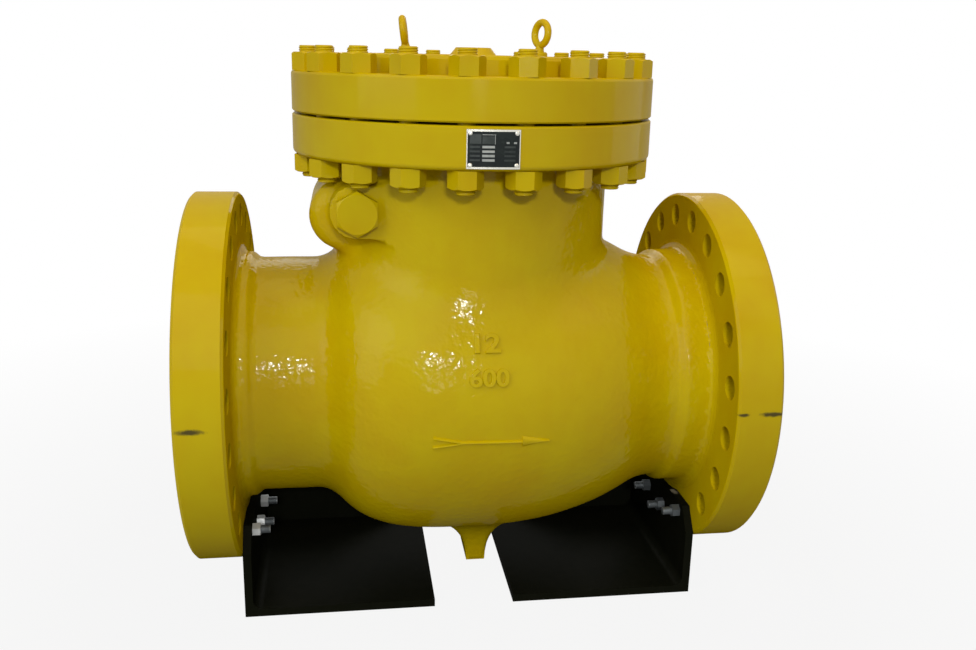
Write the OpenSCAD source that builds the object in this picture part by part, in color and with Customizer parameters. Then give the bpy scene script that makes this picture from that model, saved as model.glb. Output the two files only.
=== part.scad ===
// Non-return valve: a flanged swing check valve with a bolted cover, NPS 12, Class 600.
// X runs along the pipe with the flow, Y points to the rear, Z is up and the floor is at Z = 0.
// The pipe axis lies axis_h above the floor, and heights named "above the axis" count from it.

/* [Pipe ends] */
// Distance between the two raised faces
face_to_face = 838.2; // [820:0.1:960]
// Height of the pipe axis above the floor
axis_h = 336; // [332:1:400]
// Outside diameter of each end flange
end_flange_d = 558.8; // [545:0.1:600]
// Thickness of each end flange without its raised face
end_flange_thk = 66.5; // [55:0.1:75]
// Distance from the edge of the raised face to the bolt circle
raised_face_gap = 54; // [40:0.1:70]
// Height of the raised face
raised_face_h = 7; // [2:0.1:8]
// Bore of the pipe
bore_d = 300; // [280:1:304]
// Distance from the end flanges' bolt circle to their rim
end_hole_rim = 34.9; // [28:0.1:38]
// Diameter of the holes in the end flanges
end_hole_d = 35; // [28:0.1:38]
// Number of holes in each end flange
end_hole_count = 20; // [12:4:20]
// Chamfer on the edges of the end flanges
end_edge = 4; // [1:0.5:6]
// Fillet between a neck and its flange
root_r = 27; // [15:1:29]

/* [Body] */
// Thickness of the wall of the pipe necks
neck_wall = 29.5; // [26:0.5:32]
// Outside diameter of the belly at its widest
belly_d = 498.4; // [492:0.1:530]
// Distance from the inlet's raised face to the foot of the belly's curve
belly_in_foot = 178.8; // [170:0.1:184]
// Distance from the outlet's raised face to the foot of the belly's curve
belly_out_foot = 56.2; // [50:0.1:80]
// Squareness of the belly's curve on the inlet side, 2 for an ellipse
belly_in_power = 3.3; // [2.4:0.1:3.8]
// Squareness of the belly's curve on the outlet side, 2 for an ellipse
belly_out_power = 2.15; // [2:0.05:2.4]
// Thickness of the belly's wall
belly_wall = 26; // [20:0.5:27]
// Length over which belly and necks blend
belly_blend = 10; // [6:1:20]
// Thickness of the foot rib, along the pipe
rib_thk = 30; // [20:1:40]
// Half width of the foot rib at its bottom
rib_half_w = 40; // [25:1:60]
// Place of the foot rib along the pipe
rib_x = 16; // [0:1:40]
// Gap between the foot rib and the floor
rib_gap = 15; // [10:1:40]
// Extra thickness of the foot rib at its root, each side
rib_flare = 14; // [5:1:20]

/* [Bonnet] */
// Place of the bonnet axis along the pipe
bonnet_x = 3.1; // [0:0.1:6]
// Outside diameter of the bonnet neck
bonnet_neck_d = 406; // [400:1:412]
// Thickness of the bonnet neck's wall
bonnet_wall = 27; // [24:0.5:29]
// Distance from the cover's bolt circle to the rim of the bonnet flange and the cover
cover_rim = 23.1; // [20:0.1:35]
// Thickness of the bonnet flange
bonnet_flange_thk = 56.4; // [45:0.1:65]
// Rounding of the bonnet flange's lower edge
bonnet_edge_r = 7; // [3:0.5:12]

/* [Cover] */
// Thickness of the cover's disc
cover_thk = 56.4; // [45:0.1:65]
// Distance from the raised middle of the cover to the bolt circle
cover_boss_gap = 37; // [34:0.5:50]
// Height of the raised middle of the cover
cover_boss_h = 25.6; // [20:0.1:30]
// Diameter of the centre pad at its foot
pad_foot_d = 70; // [60:1:80]
// Diameter of the centre pad at its top
pad_top_d = 52; // [40:1:55]
// Height of the centre pad
pad_h = 11; // [5:1:15]
// Depth of the cover's register in the bonnet bore
register_h = 10; // [5:1:14]
// Radial clearance of the cover's register
register_gap = 0.4; // [0.2:0.1:1]
// Thickness of the cover gasket
gasket_thk = 3.5; // [2:0.1:4.5]
// Radial width of the cover gasket
gasket_w = 34; // [20:1:42]

/* [Cover bolting] */
// Distance from the bonnet neck to the cover's bolt circle
neck_bolt_gap = 39; // [36:0.5:44]
// Number of cover studs
cover_stud_count = 20; // [12:4:20]
// Diameter of the cover studs
stud_d = 25.4; // [22:0.1:27]
// Radial clearance of a stud in its hole
stud_hole_gap = 1.6; // [0.8:0.1:2]
// Width across flats of the stud nuts
nut_af = 41.3; // [38:0.1:42]
// Height of the stud nuts
nut_h = 25; // [20:0.1:26]
// Length of a stud that stands out above its top nut
stud_out_top = 9; // [3:0.5:12]
// Length of a stud that stands out below its bottom nut
stud_out_bottom = 7; // [3:0.5:12]
// Gap between the pin bosses and the ends of the cover studs
boss_stud_gap = 3.6; // [2:0.1:20]

/* [Hinge] */
// Place of the hinge pin along the pipe
pin_x = -172; // [-174:0.5:-168]
// Height of the hinge pin above the pipe axis
pin_h = 273; // [270:0.5:275]
// Diameter of the hinge pin
pin_d = 34; // [28:0.5:36]
// Wall thickness of the arm's bushes
bush_wall = 4.5; // [3:0.5:5]
// Diameter of the arm's hub
hub_d = 56; // [54:0.5:58]
// Half width of the arm's hub along the pin
hub_half_w = 70; // [60:1:72]
// Half width of the gap between the hub's two lugs
hub_gap_half_w = 32; // [25:1:38]
// Gap round the hub in the body's hinge pocket
pocket_gap = 4; // [3:0.5:5]
// Gap at each end of the hub in the hinge pocket
pocket_side_gap = 3; // [1:0.5:5]
// Running clearance on the pin, on the radius
run_gap = 0.05; // [0.02:0.01:0.1]
// Diameter of the cast housing round the hinge pocket
housing_d = 102; // [100:1:112]
// Half length of the hinge housing along the pin
housing_half_w = 98; // [95:1:104]
// Offset of the housing's centre from the pin along the pipe
housing_dx = -15.5; // [-20:0.5:-14]
// Offset of the housing's centre from the pin in height
housing_dz = -13; // [-15:1:-11]
// Rounding of the housing's ends
housing_edge_r = 20; // [8:1:28]
// Set-back of the web between the bosses and the bonnet neck
web_inset = 3; // [1:1:8]
// Rounding of the bosses' ends
boss_edge_r = 4; // [2:0.5:6]
// Diameter of the pin bosses at the front and rear
boss_d = 67; // [66:1:72]
// Half distance between the two boss faces
boss_half_w = 152; // [148:1:170]
// Depth of the plug's thread in the boss
plug_depth = 26; // [15:1:35]
// Diameter of the plug's thread
plug_d = 39; // [38:0.5:44]
// Width across flats of the plug's head
plug_af = 55; // [50:0.5:57]
// Thickness of the plug's head
plug_head_h = 16; // [10:0.5:20]
// Thickness of the washer under the plug's head
plug_washer_thk = 2; // [1:0.5:3]
// Radial width of the washer under the plug's head
plug_washer_w = 7.5; // [5:0.5:8]
// Play at each end of the hinge pin
pin_end_gap = 0.5; // [0.2:0.1:1]

/* [Swing] */
// Opening angle of the disc at its stop
open_angle = 55; // [40:1:57]
// Reach of the arm's stop lug from the pin
stop_reach = 45; // [42:0.5:46]
// Thickness of the stop lug
stop_thk = 16; // [12:1:20]
// Half width of the stop lug along the pin
stop_half_w = 20; // [12:1:30]
// Angle left between the stop lug and its stop, in degrees
stop_slack = 0.8; // [0.5:0.1:1.5]

/* [Seat and disc] */
// Place of the seating face along the pipe
seat_x = -174; // [-178:0.5:-172]
// Thickness of the seat ring
seat_thk = 22; // [18:1:26]
// Radial width of the seat ring
seat_w = 25; // [20:1:26]
// Radial width of the raised seating land
seat_land_w = 10; // [6:1:14]
// Height of the raised seating land
seat_land_h = 4; // [2:0.5:6]
// Gap between disc and seat with the valve shut
seat_gap = 0.3; // [0.2:0.1:0.5]
// Overlap of the disc's edge past the seating land
disc_lap = 1; // [0:0.5:2]
// Thickness of the disc at its rim
disc_thk = 28; // [22:1:34]
// Height of the disc's back at its centre above the rim
disc_crown = 8; // [4:1:10]
// Diameter of the disc's stem
stem_d = 44; // [38:1:46]
// Diameter of the shoulder round the stem
stem_shoulder_d = 84; // [76:1:92]
// Height of the shoulder round the stem
stem_shoulder_h = 5; // [3:1:8]
// Gap between neighbouring faces that turn on each other
face_gap = 0.3; // [0.2:0.1:0.5]
// Thickness of the washer on the stem
disc_washer_thk = 6; // [4:1:8]
// Diameter of the washer on the stem
disc_washer_d = 72; // [68:1:80]
// Width across flats of the disc nut
disc_nut_af = 65; // [62:1:70]
// Height of the disc nut
disc_nut_h = 34; // [30:1:38]
// Depth of the slots in the disc nut
slot_depth = 11; // [9:1:13]
// Width of the slots in the disc nut
slot_w = 8; // [7:0.5:10]
// Diameter of the split pin
split_pin_d = 6; // [4:0.5:6.5]
// Length of the stem that stands out past the nut
stem_out = 3; // [1:1:8]

/* [Arm] */
// Thickness of the arm's web
arm_thk = 30; // [24:1:34]
// Thickness of the arm's eye along the stem
eye_thk = 44; // [36:1:48]
// Diameter of the arm's eye
eye_d = 88; // [80:1:96]
// Half width of the arm just above its eye
arm_foot_half_w = 40; // [34:1:42]
// Drop from the hinge pin to the bend of the arm
arm_bend_drop = 77; // [68:1:85]

/* [Eyebolts] */
// Half distance between the two eyebolts
eye_half_span = 99; // [80:1:130]
// Diameter of the eyebolts' shank
eye_shank_d = 12; // [10:0.5:16]
// Length of shank in the cover
eye_shank_h = 22; // [15:1:24]
// Diameter of the eyebolts' collar
collar_d = 25; // [20:0.5:30]
// Height of the eyebolts' collar
collar_h = 7; // [5:0.5:10]
// Outside diameter of the ring
eye_ring_d = 43; // [38:0.5:50]
// Thickness of the ring
eye_wire_d = 10.5; // [8:0.5:12]
// Height of the neck below the ring
eye_neck_h = 10; // [6:0.5:14]
// Turn of the left ring about the vertical, in degrees
eye_turn_left = 84; // [0:1:180]
// Turn of the right ring about the vertical, in degrees
eye_turn_right = 115; // [0:1:180]
// Lean of the left ring, in degrees
eye_lean_left = -7; // [-10:0.5:10]
// Lean of the right ring, in degrees
eye_lean_right = 5; // [-10:0.5:10]

/* [Nameplate] */
// Angle that the nameplate covers on the bonnet flange, in degrees
plate_sweep = 14.7; // [10:0.1:20]
// Turn of the nameplate's middle from the front, in degrees
plate_turn = -1.4; // [-6:0.1:6]
// Height of the nameplate
plate_h = 49; // [30:0.5:50]
// Thickness of the nameplate
plate_thk = 0.9; // [0.5:0.1:1.5]
// Diameter of the nameplate's rivets
rivet_d = 3.2; // [2:0.1:4]
// Diameter of the rivets' heads
rivet_head_d = 6; // [5:0.1:7]
// Height of the rivets' heads
rivet_head_h = 1.6; // [1:0.1:2.5]
// Depth of the rivets in the flange
rivet_depth = 8; // [5:0.5:12]
// Distance of the rivets from the nameplate's edges
rivet_inset = 4.5; // [4:0.1:8]

/* [Stands] */
// Thickness of the stands' plate
stand_thk = 12; // [10:1:16]
// Half width of the stands
stand_half_w = 152; // [145:1:170]
// Gap between the stands' notch and the fillet at the neck's root
stand_notch_gap = 2; // [1:0.5:6]
// Height of the stands' top edge above their upper bolts
stand_margin = 14.85; // [10:0.05:16]
// Distance of each base's inner end from the middle
stand_inner = 61; // [50:1:90]
// Chamfer of the stands' top corners along the width
stand_corner_w = 25; // [10:1:28]
// Chamfer of the stands' top corners along the height
stand_corner_h = 34; // [10:1:40]
// Inside radius of the stands' bend
stand_bend_r = 14; // [8:1:24]
// Thickness of the stands' rear gussets
gusset_thk = 10; // [8:1:14]
// Length of the gussets' level top edge
gusset_flat = 105; // [60:1:140]
// Diameter of the stand bolts
stand_bolt_d = 12; // [10:0.5:16]
// Width across flats of the stand bolts
stand_bolt_af = 18; // [17:0.5:24]
// Height of the stand bolts' nuts
stand_nut_h = 12; // [9:0.5:15]
// Height of the stand bolts' heads
stand_head_h = 7.5; // [6:0.5:12]
// Length of thread that stands out past the nut
stand_bolt_out = 14; // [5:1:25]
// Diameter of the thick washer under the head
stand_washer_d = 52; // [45:1:56]
// Thickness of the thick washer
stand_washer_thk = 6; // [4:0.5:8]
// Height of the stand bolts above the middle of the flange's holes
stand_bolt_rise = 5; // [0:0.5:6]

/* [Hidden] */

$fn = 96;
yellow = "gold";
// Small overlap that keeps cuts clean
cut = 1;
// Clearance of threads and pressed pieces, on the radius
thread_gap = 0.05;

bore_r = bore_d / 2;
neck_r = bore_r + neck_wall;
belly_r_max = belly_d / 2;
face_x = face_to_face / 2;
rim_x = face_x - raised_face_h;
back_x = rim_x - end_flange_thk;
end_r = end_flange_d / 2;
end_bolt_r = end_r - end_hole_rim;
raised_face_r = end_bolt_r - raised_face_gap;
belly_in = face_x - belly_in_foot;
belly_out = face_x - belly_out_foot;

bonnet_neck_r = bonnet_neck_d / 2;
bonnet_bore_r = bonnet_neck_r - bonnet_wall;
cover_bolt_r = bonnet_neck_r + neck_bolt_gap;
cover_r = cover_bolt_r + cover_rim;
cover_boss_r = cover_bolt_r - cover_boss_gap;
boss_r = boss_d / 2;
bonnet_under_h = pin_h + boss_r + boss_stud_gap + stud_out_bottom + nut_h;
bonnet_top_h = bonnet_under_h + bonnet_flange_thk;
cover_under_h = bonnet_top_h + gasket_thk;
cover_top_h = cover_under_h + cover_thk;
cover_boss_top_h = cover_top_h + cover_boss_h;
stud_r = stud_d / 2;
stud_hole_r = stud_r + stud_hole_gap;

pin_r = pin_d / 2;
pin_z = axis_h + pin_h;
hub_r = hub_d / 2;
pocket_r = hub_r + pocket_gap;
pocket_half_w = hub_half_w + pocket_side_gap;
pocket_roof_r = stop_reach + 2;
plug_r = plug_d / 2;
plug_end_w = boss_half_w - plug_depth;

seat_out_r = bore_r + seat_w;
seat_back_x = seat_x - seat_thk;
disc_r = bore_r + seat_land_w + disc_lap;
disc_face_x = seat_x + seat_gap;
disc_back_x = disc_face_x + disc_thk;
stem_r = stem_d / 2;
shoulder_x = disc_back_x + disc_crown + stem_shoulder_h;
eye_x0 = shoulder_x + face_gap;
eye_x1 = eye_x0 + eye_thk;
arm_mid_x = (eye_x0 + eye_x1) / 2;
arm_bend_h = pin_h - arm_bend_drop;
washer_x = eye_x1 + face_gap;
nut_x = washer_x + disc_washer_thk;
nut_end_x = nut_x + disc_nut_h;
stem_end_x = nut_end_x + stem_out;
slot_x = nut_end_x - slot_depth / 2;

stand_bolt_angles = [-27, -9, 9, 27];
stand_top_z = axis_h - end_bolt_r * cos(27) + stand_bolt_rise + stand_margin;
gusset_top_z = stand_top_z - stand_corner_h;

// Larger of two lengths, rounded over the length k where they cross
function smooth_max(a, b, k) = max(a, b) + pow(max(k - abs(a - b), 0), 2) / (4 * k);
function half_length(x) = x < 0 ? belly_in : belly_out;
function power(x) = x < 0 ? belly_in_power : belly_out_power;
// Radius of the belly's curve at x: a squarish ellipse, shorter and squarer on the inlet side
function curve_r(x) =
    belly_r_max * pow(max(0, 1 - pow(abs(x) / half_length(x), power(x))), 1 / power(x));
function outer_r(x) = smooth_max(neck_r, curve_r(x), belly_blend);
function chamber_r(x) = smooth_max(bore_r, curve_r(x) - belly_wall, belly_blend);
// Share of the curve's half length, on the side s, at which it has the radius r
function reach_at(r, s) = pow(1 - pow(r / belly_r_max, power(s)), 1 / power(s));
// Place along the curve for an angle, counted from the outlet end
function along(t) = cos(t) * half_length(cos(t));
function reversed(list) = [for (i = [len(list) - 1:-1:0]) list[i]];

// Outline of one flange, from its neck to the axis; s is -1 at the inlet and 1 at the outlet
function end_points(s, steps = 8) = concat(
    [for (i = [0:steps]) let (a = 90 * i / steps)
        [neck_r + root_r * (1 - cos(a)), s * (back_x - root_r * (1 - sin(a)))]],
    [
        [end_r - end_edge, s * back_x],
        [end_r, s * (back_x + end_edge)],
        [end_r, s * (rim_x - end_edge)],
        [end_r - end_edge, s * rim_x],
        [raised_face_r, s * rim_x],
        [raised_face_r, s * face_x],
        [0, s * face_x]
    ]
);
function belly_points(steps = 52) =
    let (
        foot_r = neck_r - belly_blend,
        t0 = acos(-reach_at(foot_r, -1)),
        t1 = acos(reach_at(foot_r, 1))
    )
    [for (i = [0:steps]) let (x = along(t0 + (t1 - t0) * i / steps)) [outer_r(x), x]];
function chamber_points(steps = 32) =
    let (
        t0 = acos(seat_x / belly_in),
        t1 = acos(reach_at(bore_r + belly_wall - belly_blend, 1))
    )
    [for (i = [0:steps]) let (x = along(t0 + (t1 - t0) * i / steps)) [chamber_r(x), x]];

// Turns a shape drawn round Z so that it lies round the pipe axis
module along_pipe() {
    translate([0, 0, axis_h]) rotate([0, 90, 0]) children();
}

// Places a shape drawn round Z on the hinge pin's axis, centred on Y = 0
module along_pin(dx = 0, dz = 0) {
    translate([pin_x + dx, 0, pin_z + dz]) rotate([90, 0, 0]) children();
}

// Copies a shape to count places on a circle of radius r, none of them on an axis
module ring_of(count, r) {
    for (i = [0:count - 1]) rotate([0, 0, (i + 0.5) * 360 / count])
        translate([r, 0, 0]) children();
}

module tube(r_out, r_in, h) {
    difference() {
        cylinder(r = r_out, h = h);
        translate([0, 0, -cut]) cylinder(r = r_in, h = h + 2 * cut);
    }
}

// Hexagon nut or head with chamfered corners; chamfer both ends for a nut that shows both
module hexagon(af, h, bore = 0, both = false) {
    corner_r = af / (2 * cos(30));
    drop = (corner_r - af / 2) * tan(30) * 1.6;
    difference() {
        intersection() {
            cylinder(r = corner_r, h = h, $fn = 6);
            rotate_extrude() polygon([
                [0, 0],
                [both ? af / 2 * 0.97 : corner_r + cut, 0],
                [corner_r + cut, both ? drop : 0],
                [corner_r + cut, h - drop],
                [af / 2 * 0.97, h],
                [0, h]
            ]);
        }
        if (bore > 0) translate([0, 0, -cut]) cylinder(r = bore / 2, h = h + 2 * cut);
    }
}

// Cylinder of half length half, centred, with its two edges rounded
module drum(r, half, edge, steps = 5) {
    arc = [for (i = [0:steps]) let (a = 90 * i / steps)
        [r - edge + edge * sin(a), half - edge + edge * cos(a)]];
    lower = [for (q = reversed(arc)) [q[0], -q[1]]];
    rotate_extrude() polygon(concat([[0, half]], arc, lower, [[0, -half]]));
}

module cover_ring(h) {
    translate([bonnet_x, 0, axis_h + h]) ring_of(cover_stud_count, cover_bolt_r) children();
}

module body_blank() {
    along_pipe() rotate_extrude($fn = 128)
        polygon(concat(reversed(end_points(-1)), belly_points(), end_points(1)));
    translate([bonnet_x, 0, axis_h]) cylinder(r = bonnet_neck_r, h = bonnet_under_h + cut, $fn = 128);
    translate([bonnet_x, 0, axis_h + bonnet_under_h]) rotate_extrude($fn = 128) polygon(concat(
        [[0, 0]],
        [for (i = [0:5]) let (a = 90 * i / 5)
            [cover_r - bonnet_edge_r * (1 - sin(a)), bonnet_edge_r * (1 - cos(a))]],
        [[cover_r, bonnet_flange_thk - 2], [cover_r - 2, bonnet_flange_thk], [0, bonnet_flange_thk]]
    ));
    along_pin(housing_dx, housing_dz) drum(housing_d / 2, housing_half_w, housing_edge_r);
    along_pin() drum(boss_r, boss_half_w, boss_edge_r);
    translate([pin_x, web_inset - boss_half_w, pin_z - boss_r + web_inset])
        cube([bonnet_x - pin_x, 2 * (boss_half_w - web_inset), 2 * (boss_r - web_inset)]);
    foot_rib();
}

// Foot rib under the belly: a slab whose sides flare out towards the belly
module foot_rib() {
    root_z = axis_h - belly_r_max + belly_wall / 2;
    translate([rib_x, 0, 0]) rotate([90, 0, 0]) linear_extrude(height = 2 * rib_half_w, center = true)
        polygon([
            [-rib_thk / 2, rib_gap],
            [rib_thk / 2, rib_gap],
            [rib_thk / 2 + rib_flare * 0.2, rib_gap + (root_z - rib_gap) * 0.5],
            [rib_thk / 2 + rib_flare, root_z],
            [-rib_thk / 2 - rib_flare, root_z],
            [-rib_thk / 2 - rib_flare * 0.2, rib_gap + (root_z - rib_gap) * 0.5]
        ]);
}

module chamber() {
    along_pipe() rotate_extrude($fn = 128) polygon(concat(
        [
            [0, -face_x - cut],
            [bore_r, -face_x - cut],
            [bore_r, seat_back_x],
            [seat_out_r, seat_back_x],
            [seat_out_r, seat_x]
        ],
        chamber_points(),
        [[bore_r, face_x + cut], [0, face_x + cut]]
    ));
    translate([bonnet_x, 0, axis_h]) cylinder(r = bonnet_bore_r, h = bonnet_top_h + cut, $fn = 128);
}

// Room for the arm's hub, with the flat wall above it that stops the open arm
module hinge_pocket() {
    along_pin() cylinder(r = pocket_r, h = 2 * pocket_half_w, center = true);
    translate([pin_x, -pocket_half_w, pin_z - pin_h / 2])
        cube([bonnet_x - pin_x, 2 * pocket_half_w, pin_h / 2 + pocket_roof_r]);
}

module pin_bores() {
    along_pin() cylinder(r = pin_r + thread_gap, h = 2 * boss_half_w, center = true);
    for (s = [-1, 1]) translate([pin_x, s * (plug_end_w + boss_half_w + cut) / 2, pin_z])
        rotate([90, 0, 0]) cylinder(r = plug_r, h = plug_depth + cut, center = true);
}

module end_holes() {
    for (s = [-1, 1]) translate([s * (back_x + end_flange_thk / 2), 0, axis_h]) rotate([0, 90, 0])
        ring_of(end_hole_count, end_bolt_r)
            cylinder(d = end_hole_d, h = end_flange_thk + 2 * cut, center = true);
}

module rivet_places() {
    half = plate_sweep / 2 - rivet_inset / cover_r * 180 / PI;
    mid_h = axis_h + bonnet_under_h + bonnet_flange_thk / 2;
    for (a = [-half, half], z = [-1, 1])
        translate([bonnet_x, 0, mid_h + z * (plate_h / 2 - rivet_inset)])
            rotate([0, 0, plate_turn + a]) rotate([90, 0, 0]) children();
}

module body() color(yellow) difference() {
    body_blank();
    chamber();
    hinge_pocket();
    pin_bores();
    end_holes();
    cover_ring(bonnet_under_h - cut) cylinder(r = stud_hole_r, h = bonnet_flange_thk + 2 * cut);
    rivet_places() translate([0, 0, cover_r - rivet_depth])
        cylinder(d = rivet_d + 2 * thread_gap, h = rivet_depth + cut, $fn = 24);
}

module seat_ring() color("silver") along_pipe() rotate_extrude($fn = 128) polygon([
    [bore_r, seat_back_x],
    [seat_out_r, seat_back_x],
    [seat_out_r, seat_x - seat_land_h],
    [bore_r + seat_land_w, seat_x - seat_land_h],
    [bore_r + seat_land_w, seat_x],
    [bore_r, seat_x]
]);

module cover() color(yellow) difference() {
    translate([bonnet_x, 0, axis_h + cover_under_h]) rotate_extrude($fn = 128) polygon([
        [0, -register_h - gasket_thk],
        [bonnet_bore_r - register_gap - 2, -register_h - gasket_thk],
        [bonnet_bore_r - register_gap, 2 - register_h - gasket_thk],
        [bonnet_bore_r - register_gap, 0],
        [cover_r - 2, 0],
        [cover_r, 2],
        [cover_r, cover_thk - 4],
        [cover_r - 1.2, cover_thk - 1.2],
        [cover_r - 4, cover_thk],
        [cover_boss_r, cover_thk],
        [cover_boss_r, cover_thk + cover_boss_h - 6],
        [cover_boss_r - 1.8, cover_thk + cover_boss_h - 1.8],
        [cover_boss_r - 6, cover_thk + cover_boss_h],
        [pad_foot_d / 2, cover_thk + cover_boss_h],
        [pad_top_d / 2, cover_thk + cover_boss_h + pad_h],
        [0, cover_thk + cover_boss_h + pad_h]
    ]);
    cover_ring(cover_under_h - cut) cylinder(r = stud_hole_r, h = cover_thk + 2 * cut);
    for (s = [-1, 1])
        translate([bonnet_x + s * eye_half_span, 0, axis_h + cover_boss_top_h - eye_shank_h])
            cylinder(d = eye_shank_d + 2 * thread_gap, h = eye_shank_h + cut);
}

module cover_gasket() color("dimgray") translate([bonnet_x, 0, axis_h + bonnet_top_h])
    tube(bonnet_bore_r + gasket_w, bonnet_bore_r, gasket_thk, $fn = 128);

module cover_studs() color(yellow)
    cover_ring(bonnet_under_h - nut_h - stud_out_bottom) stud(
        stud_out_bottom + 2 * nut_h + bonnet_flange_thk + gasket_thk + cover_thk + stud_out_top);

// Plain stud with a chamfer at each end
module stud(h, edge = 2) {
    rotate_extrude($fn = 48) polygon([
        [0, 0],
        [stud_r - edge, 0],
        [stud_r, edge],
        [stud_r, h - edge],
        [stud_r - edge, h],
        [0, h]
    ]);
}

// Nuts of the cover, each turned its own way as a spanner leaves them
module turned_nuts(h, upward) {
    nut_bore = stud_d + 2 * thread_gap;
    for (i = [0:cover_stud_count - 1])
        translate([bonnet_x, 0, axis_h + h]) rotate([0, 0, (i + 0.5) * 360 / cover_stud_count])
            translate([cover_bolt_r, 0, 0]) rotate([upward ? 0 : 180, 0, i * 37 % 60])
                hexagon(nut_af, nut_h, nut_bore);
}

module cover_top_nuts() color(yellow) turned_nuts(cover_top_h, true);

module cover_bottom_nuts() color(yellow) turned_nuts(bonnet_under_h, false);

module hinge_pin() color("silver") along_pin()
    cylinder(r = pin_r, h = 2 * (plug_end_w - pin_end_gap), center = true);

module arm_bushes() color("goldenrod") for (s = [-1, 1])
    translate([0, s * (hub_half_w + hub_gap_half_w) / 2, 0]) along_pin()
        translate([0, 0, -(hub_half_w - hub_gap_half_w) / 2])
            tube(pin_r + run_gap + bush_wall, pin_r + run_gap, hub_half_w - hub_gap_half_w);

// Side view of the arm's web: from the hub down to the bend, then straight down to the eye
module arm_side() {
    dx = arm_mid_x - pin_x;
    dz = pin_h - arm_bend_h;
    run = sqrt(dx * dx + dz * dz);
    half = arm_thk / 2;
    rotate([90, 0, 0]) linear_extrude(height = 2 * hub_half_w, center = true) {
        translate([pin_x, pin_z]) rotate(-atan2(dz, dx)) translate([0, -half]) square([run, arm_thk]);
        translate([arm_mid_x, axis_h + arm_bend_h]) circle(r = half);
        translate([arm_mid_x - half, axis_h]) square([arm_thk, arm_bend_h]);
    }
}

// Front view of the arm: two legs at the hub that join above the eye
module arm_front() {
    leg_w = hub_half_w - hub_gap_half_w;
    fork_h = arm_bend_h - hub_gap_half_w;
    rotate([90, 0, 90]) linear_extrude(height = 2 * face_x, center = true) difference() {
        translate([0, axis_h]) polygon([
            [-arm_foot_half_w, 0],
            [arm_foot_half_w, 0],
            [arm_foot_half_w, arm_bend_h * 0.45],
            [hub_half_w, arm_bend_h],
            [hub_half_w, pin_h],
            [-hub_half_w, pin_h],
            [-hub_half_w, arm_bend_h],
            [-arm_foot_half_w, arm_bend_h * 0.45]
        ]);
        translate([0, axis_h + fork_h]) circle(r = hub_gap_half_w);
        translate([-hub_gap_half_w, axis_h + fork_h]) square([2 * hub_gap_half_w, pin_h]);
        translate([0, axis_h + fork_h - hub_gap_half_w - leg_w / 2]) circle(r = leg_w / 4);
    }
}

module stop_lug() {
    translate([pin_x, 0, pin_z]) rotate([0, open_angle + stop_slack, 0])
        translate([0, -stop_half_w, 0]) cube([stop_thk, 2 * stop_half_w, stop_reach]);
}

module hinge_arm() color("slategray") difference() {
    union() {
        intersection() {
            arm_side();
            arm_front();
        }
        for (s = [-1, 1]) translate([0, s * (hub_half_w + hub_gap_half_w) / 2, 0])
            along_pin() cylinder(r = hub_r, h = hub_half_w - hub_gap_half_w, center = true);
        along_pin() cylinder(r = hub_r - bush_wall, h = 2 * hub_gap_half_w + 2 * cut, center = true);
        stop_lug();
        translate([eye_x0, 0, axis_h]) rotate([0, 90, 0]) cylinder(d = eye_d, h = eye_thk);
    }
    along_pin() cylinder(r = pin_r + run_gap + bush_wall, h = 2 * hub_half_w + 2 * cut, center = true);
    translate([eye_x0 - cut, 0, axis_h]) rotate([0, 90, 0])
        cylinder(r = stem_r + run_gap, h = eye_thk + 2 * cut);
}

module disc() color("silver") difference() {
    along_pipe() rotate_extrude($fn = 128) polygon([
        [0, disc_face_x],
        [disc_r - 2, disc_face_x],
        [disc_r, disc_face_x + 2],
        [disc_r, disc_back_x - 3],
        [disc_r - 3, disc_back_x],
        [disc_r * 0.7, disc_back_x],
        [stem_shoulder_d / 2 + 12, disc_back_x + disc_crown],
        [stem_shoulder_d / 2, disc_back_x + disc_crown],
        [stem_shoulder_d / 2, shoulder_x],
        [stem_r, shoulder_x],
        [stem_r, stem_end_x - 2],
        [stem_r - 2, stem_end_x],
        [0, stem_end_x]
    ]);
    translate([slot_x, 0, axis_h])
        cylinder(d = split_pin_d + 2 * thread_gap, h = 4 * stem_r, center = true);
}

module disc_washer() color("silver") translate([washer_x, 0, axis_h]) rotate([0, 90, 0])
    tube(disc_washer_d / 2, stem_r + thread_gap, disc_washer_thk);

module disc_nut() color("silver") translate([nut_x, 0, axis_h]) rotate([0, 90, 0]) difference() {
    hexagon(disc_nut_af, disc_nut_h, stem_d + 2 * thread_gap);
    for (a = [0, 60, 120]) rotate([0, 0, a])
        translate([-disc_nut_af, -slot_w / 2, disc_nut_h - slot_depth])
            cube([2 * disc_nut_af, slot_w, slot_depth + cut]);
}

// Split pin: a straight shank with an eye above the nut and two ends bent over below it
module split_pin() color("silver") {
    reach = disc_nut_af / 2 / cos(30) + split_pin_d / 2;
    translate([slot_x, 0, axis_h]) {
        cylinder(d = split_pin_d, h = 2 * reach, center = true);
        translate([0, 0, reach + split_pin_d * 0.65]) rotate([90, 0, 0])
            rotate_extrude($fn = 48)
                translate([split_pin_d * 0.75, 0]) circle(d = split_pin_d / 2, $fn = 32);
        translate([0, 0, -reach + split_pin_d * 0.35]) rotate([0, 90, 0])
            cylinder(d = split_pin_d / 2, h = split_pin_d * 3.2, center = true, $fn = 48);
    }
}

// Hexagon plug that closes one end of the pin's bore; s is -1 at the front and 1 at the rear
module hinge_plug(s) {
    translate([pin_x, s * boss_half_w, pin_z]) rotate([-s * 90, 0, 0]) {
        translate([0, 0, -plug_depth])
            cylinder(r = plug_r - thread_gap, h = plug_depth + plug_washer_thk + cut);
        translate([0, 0, plug_washer_thk]) rotate([0, 0, 30]) hexagon(plug_af, plug_head_h);
    }
}

module front_hinge_plug() color(yellow) hinge_plug(-1);

module rear_hinge_plug() color(yellow) hinge_plug(1);

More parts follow.
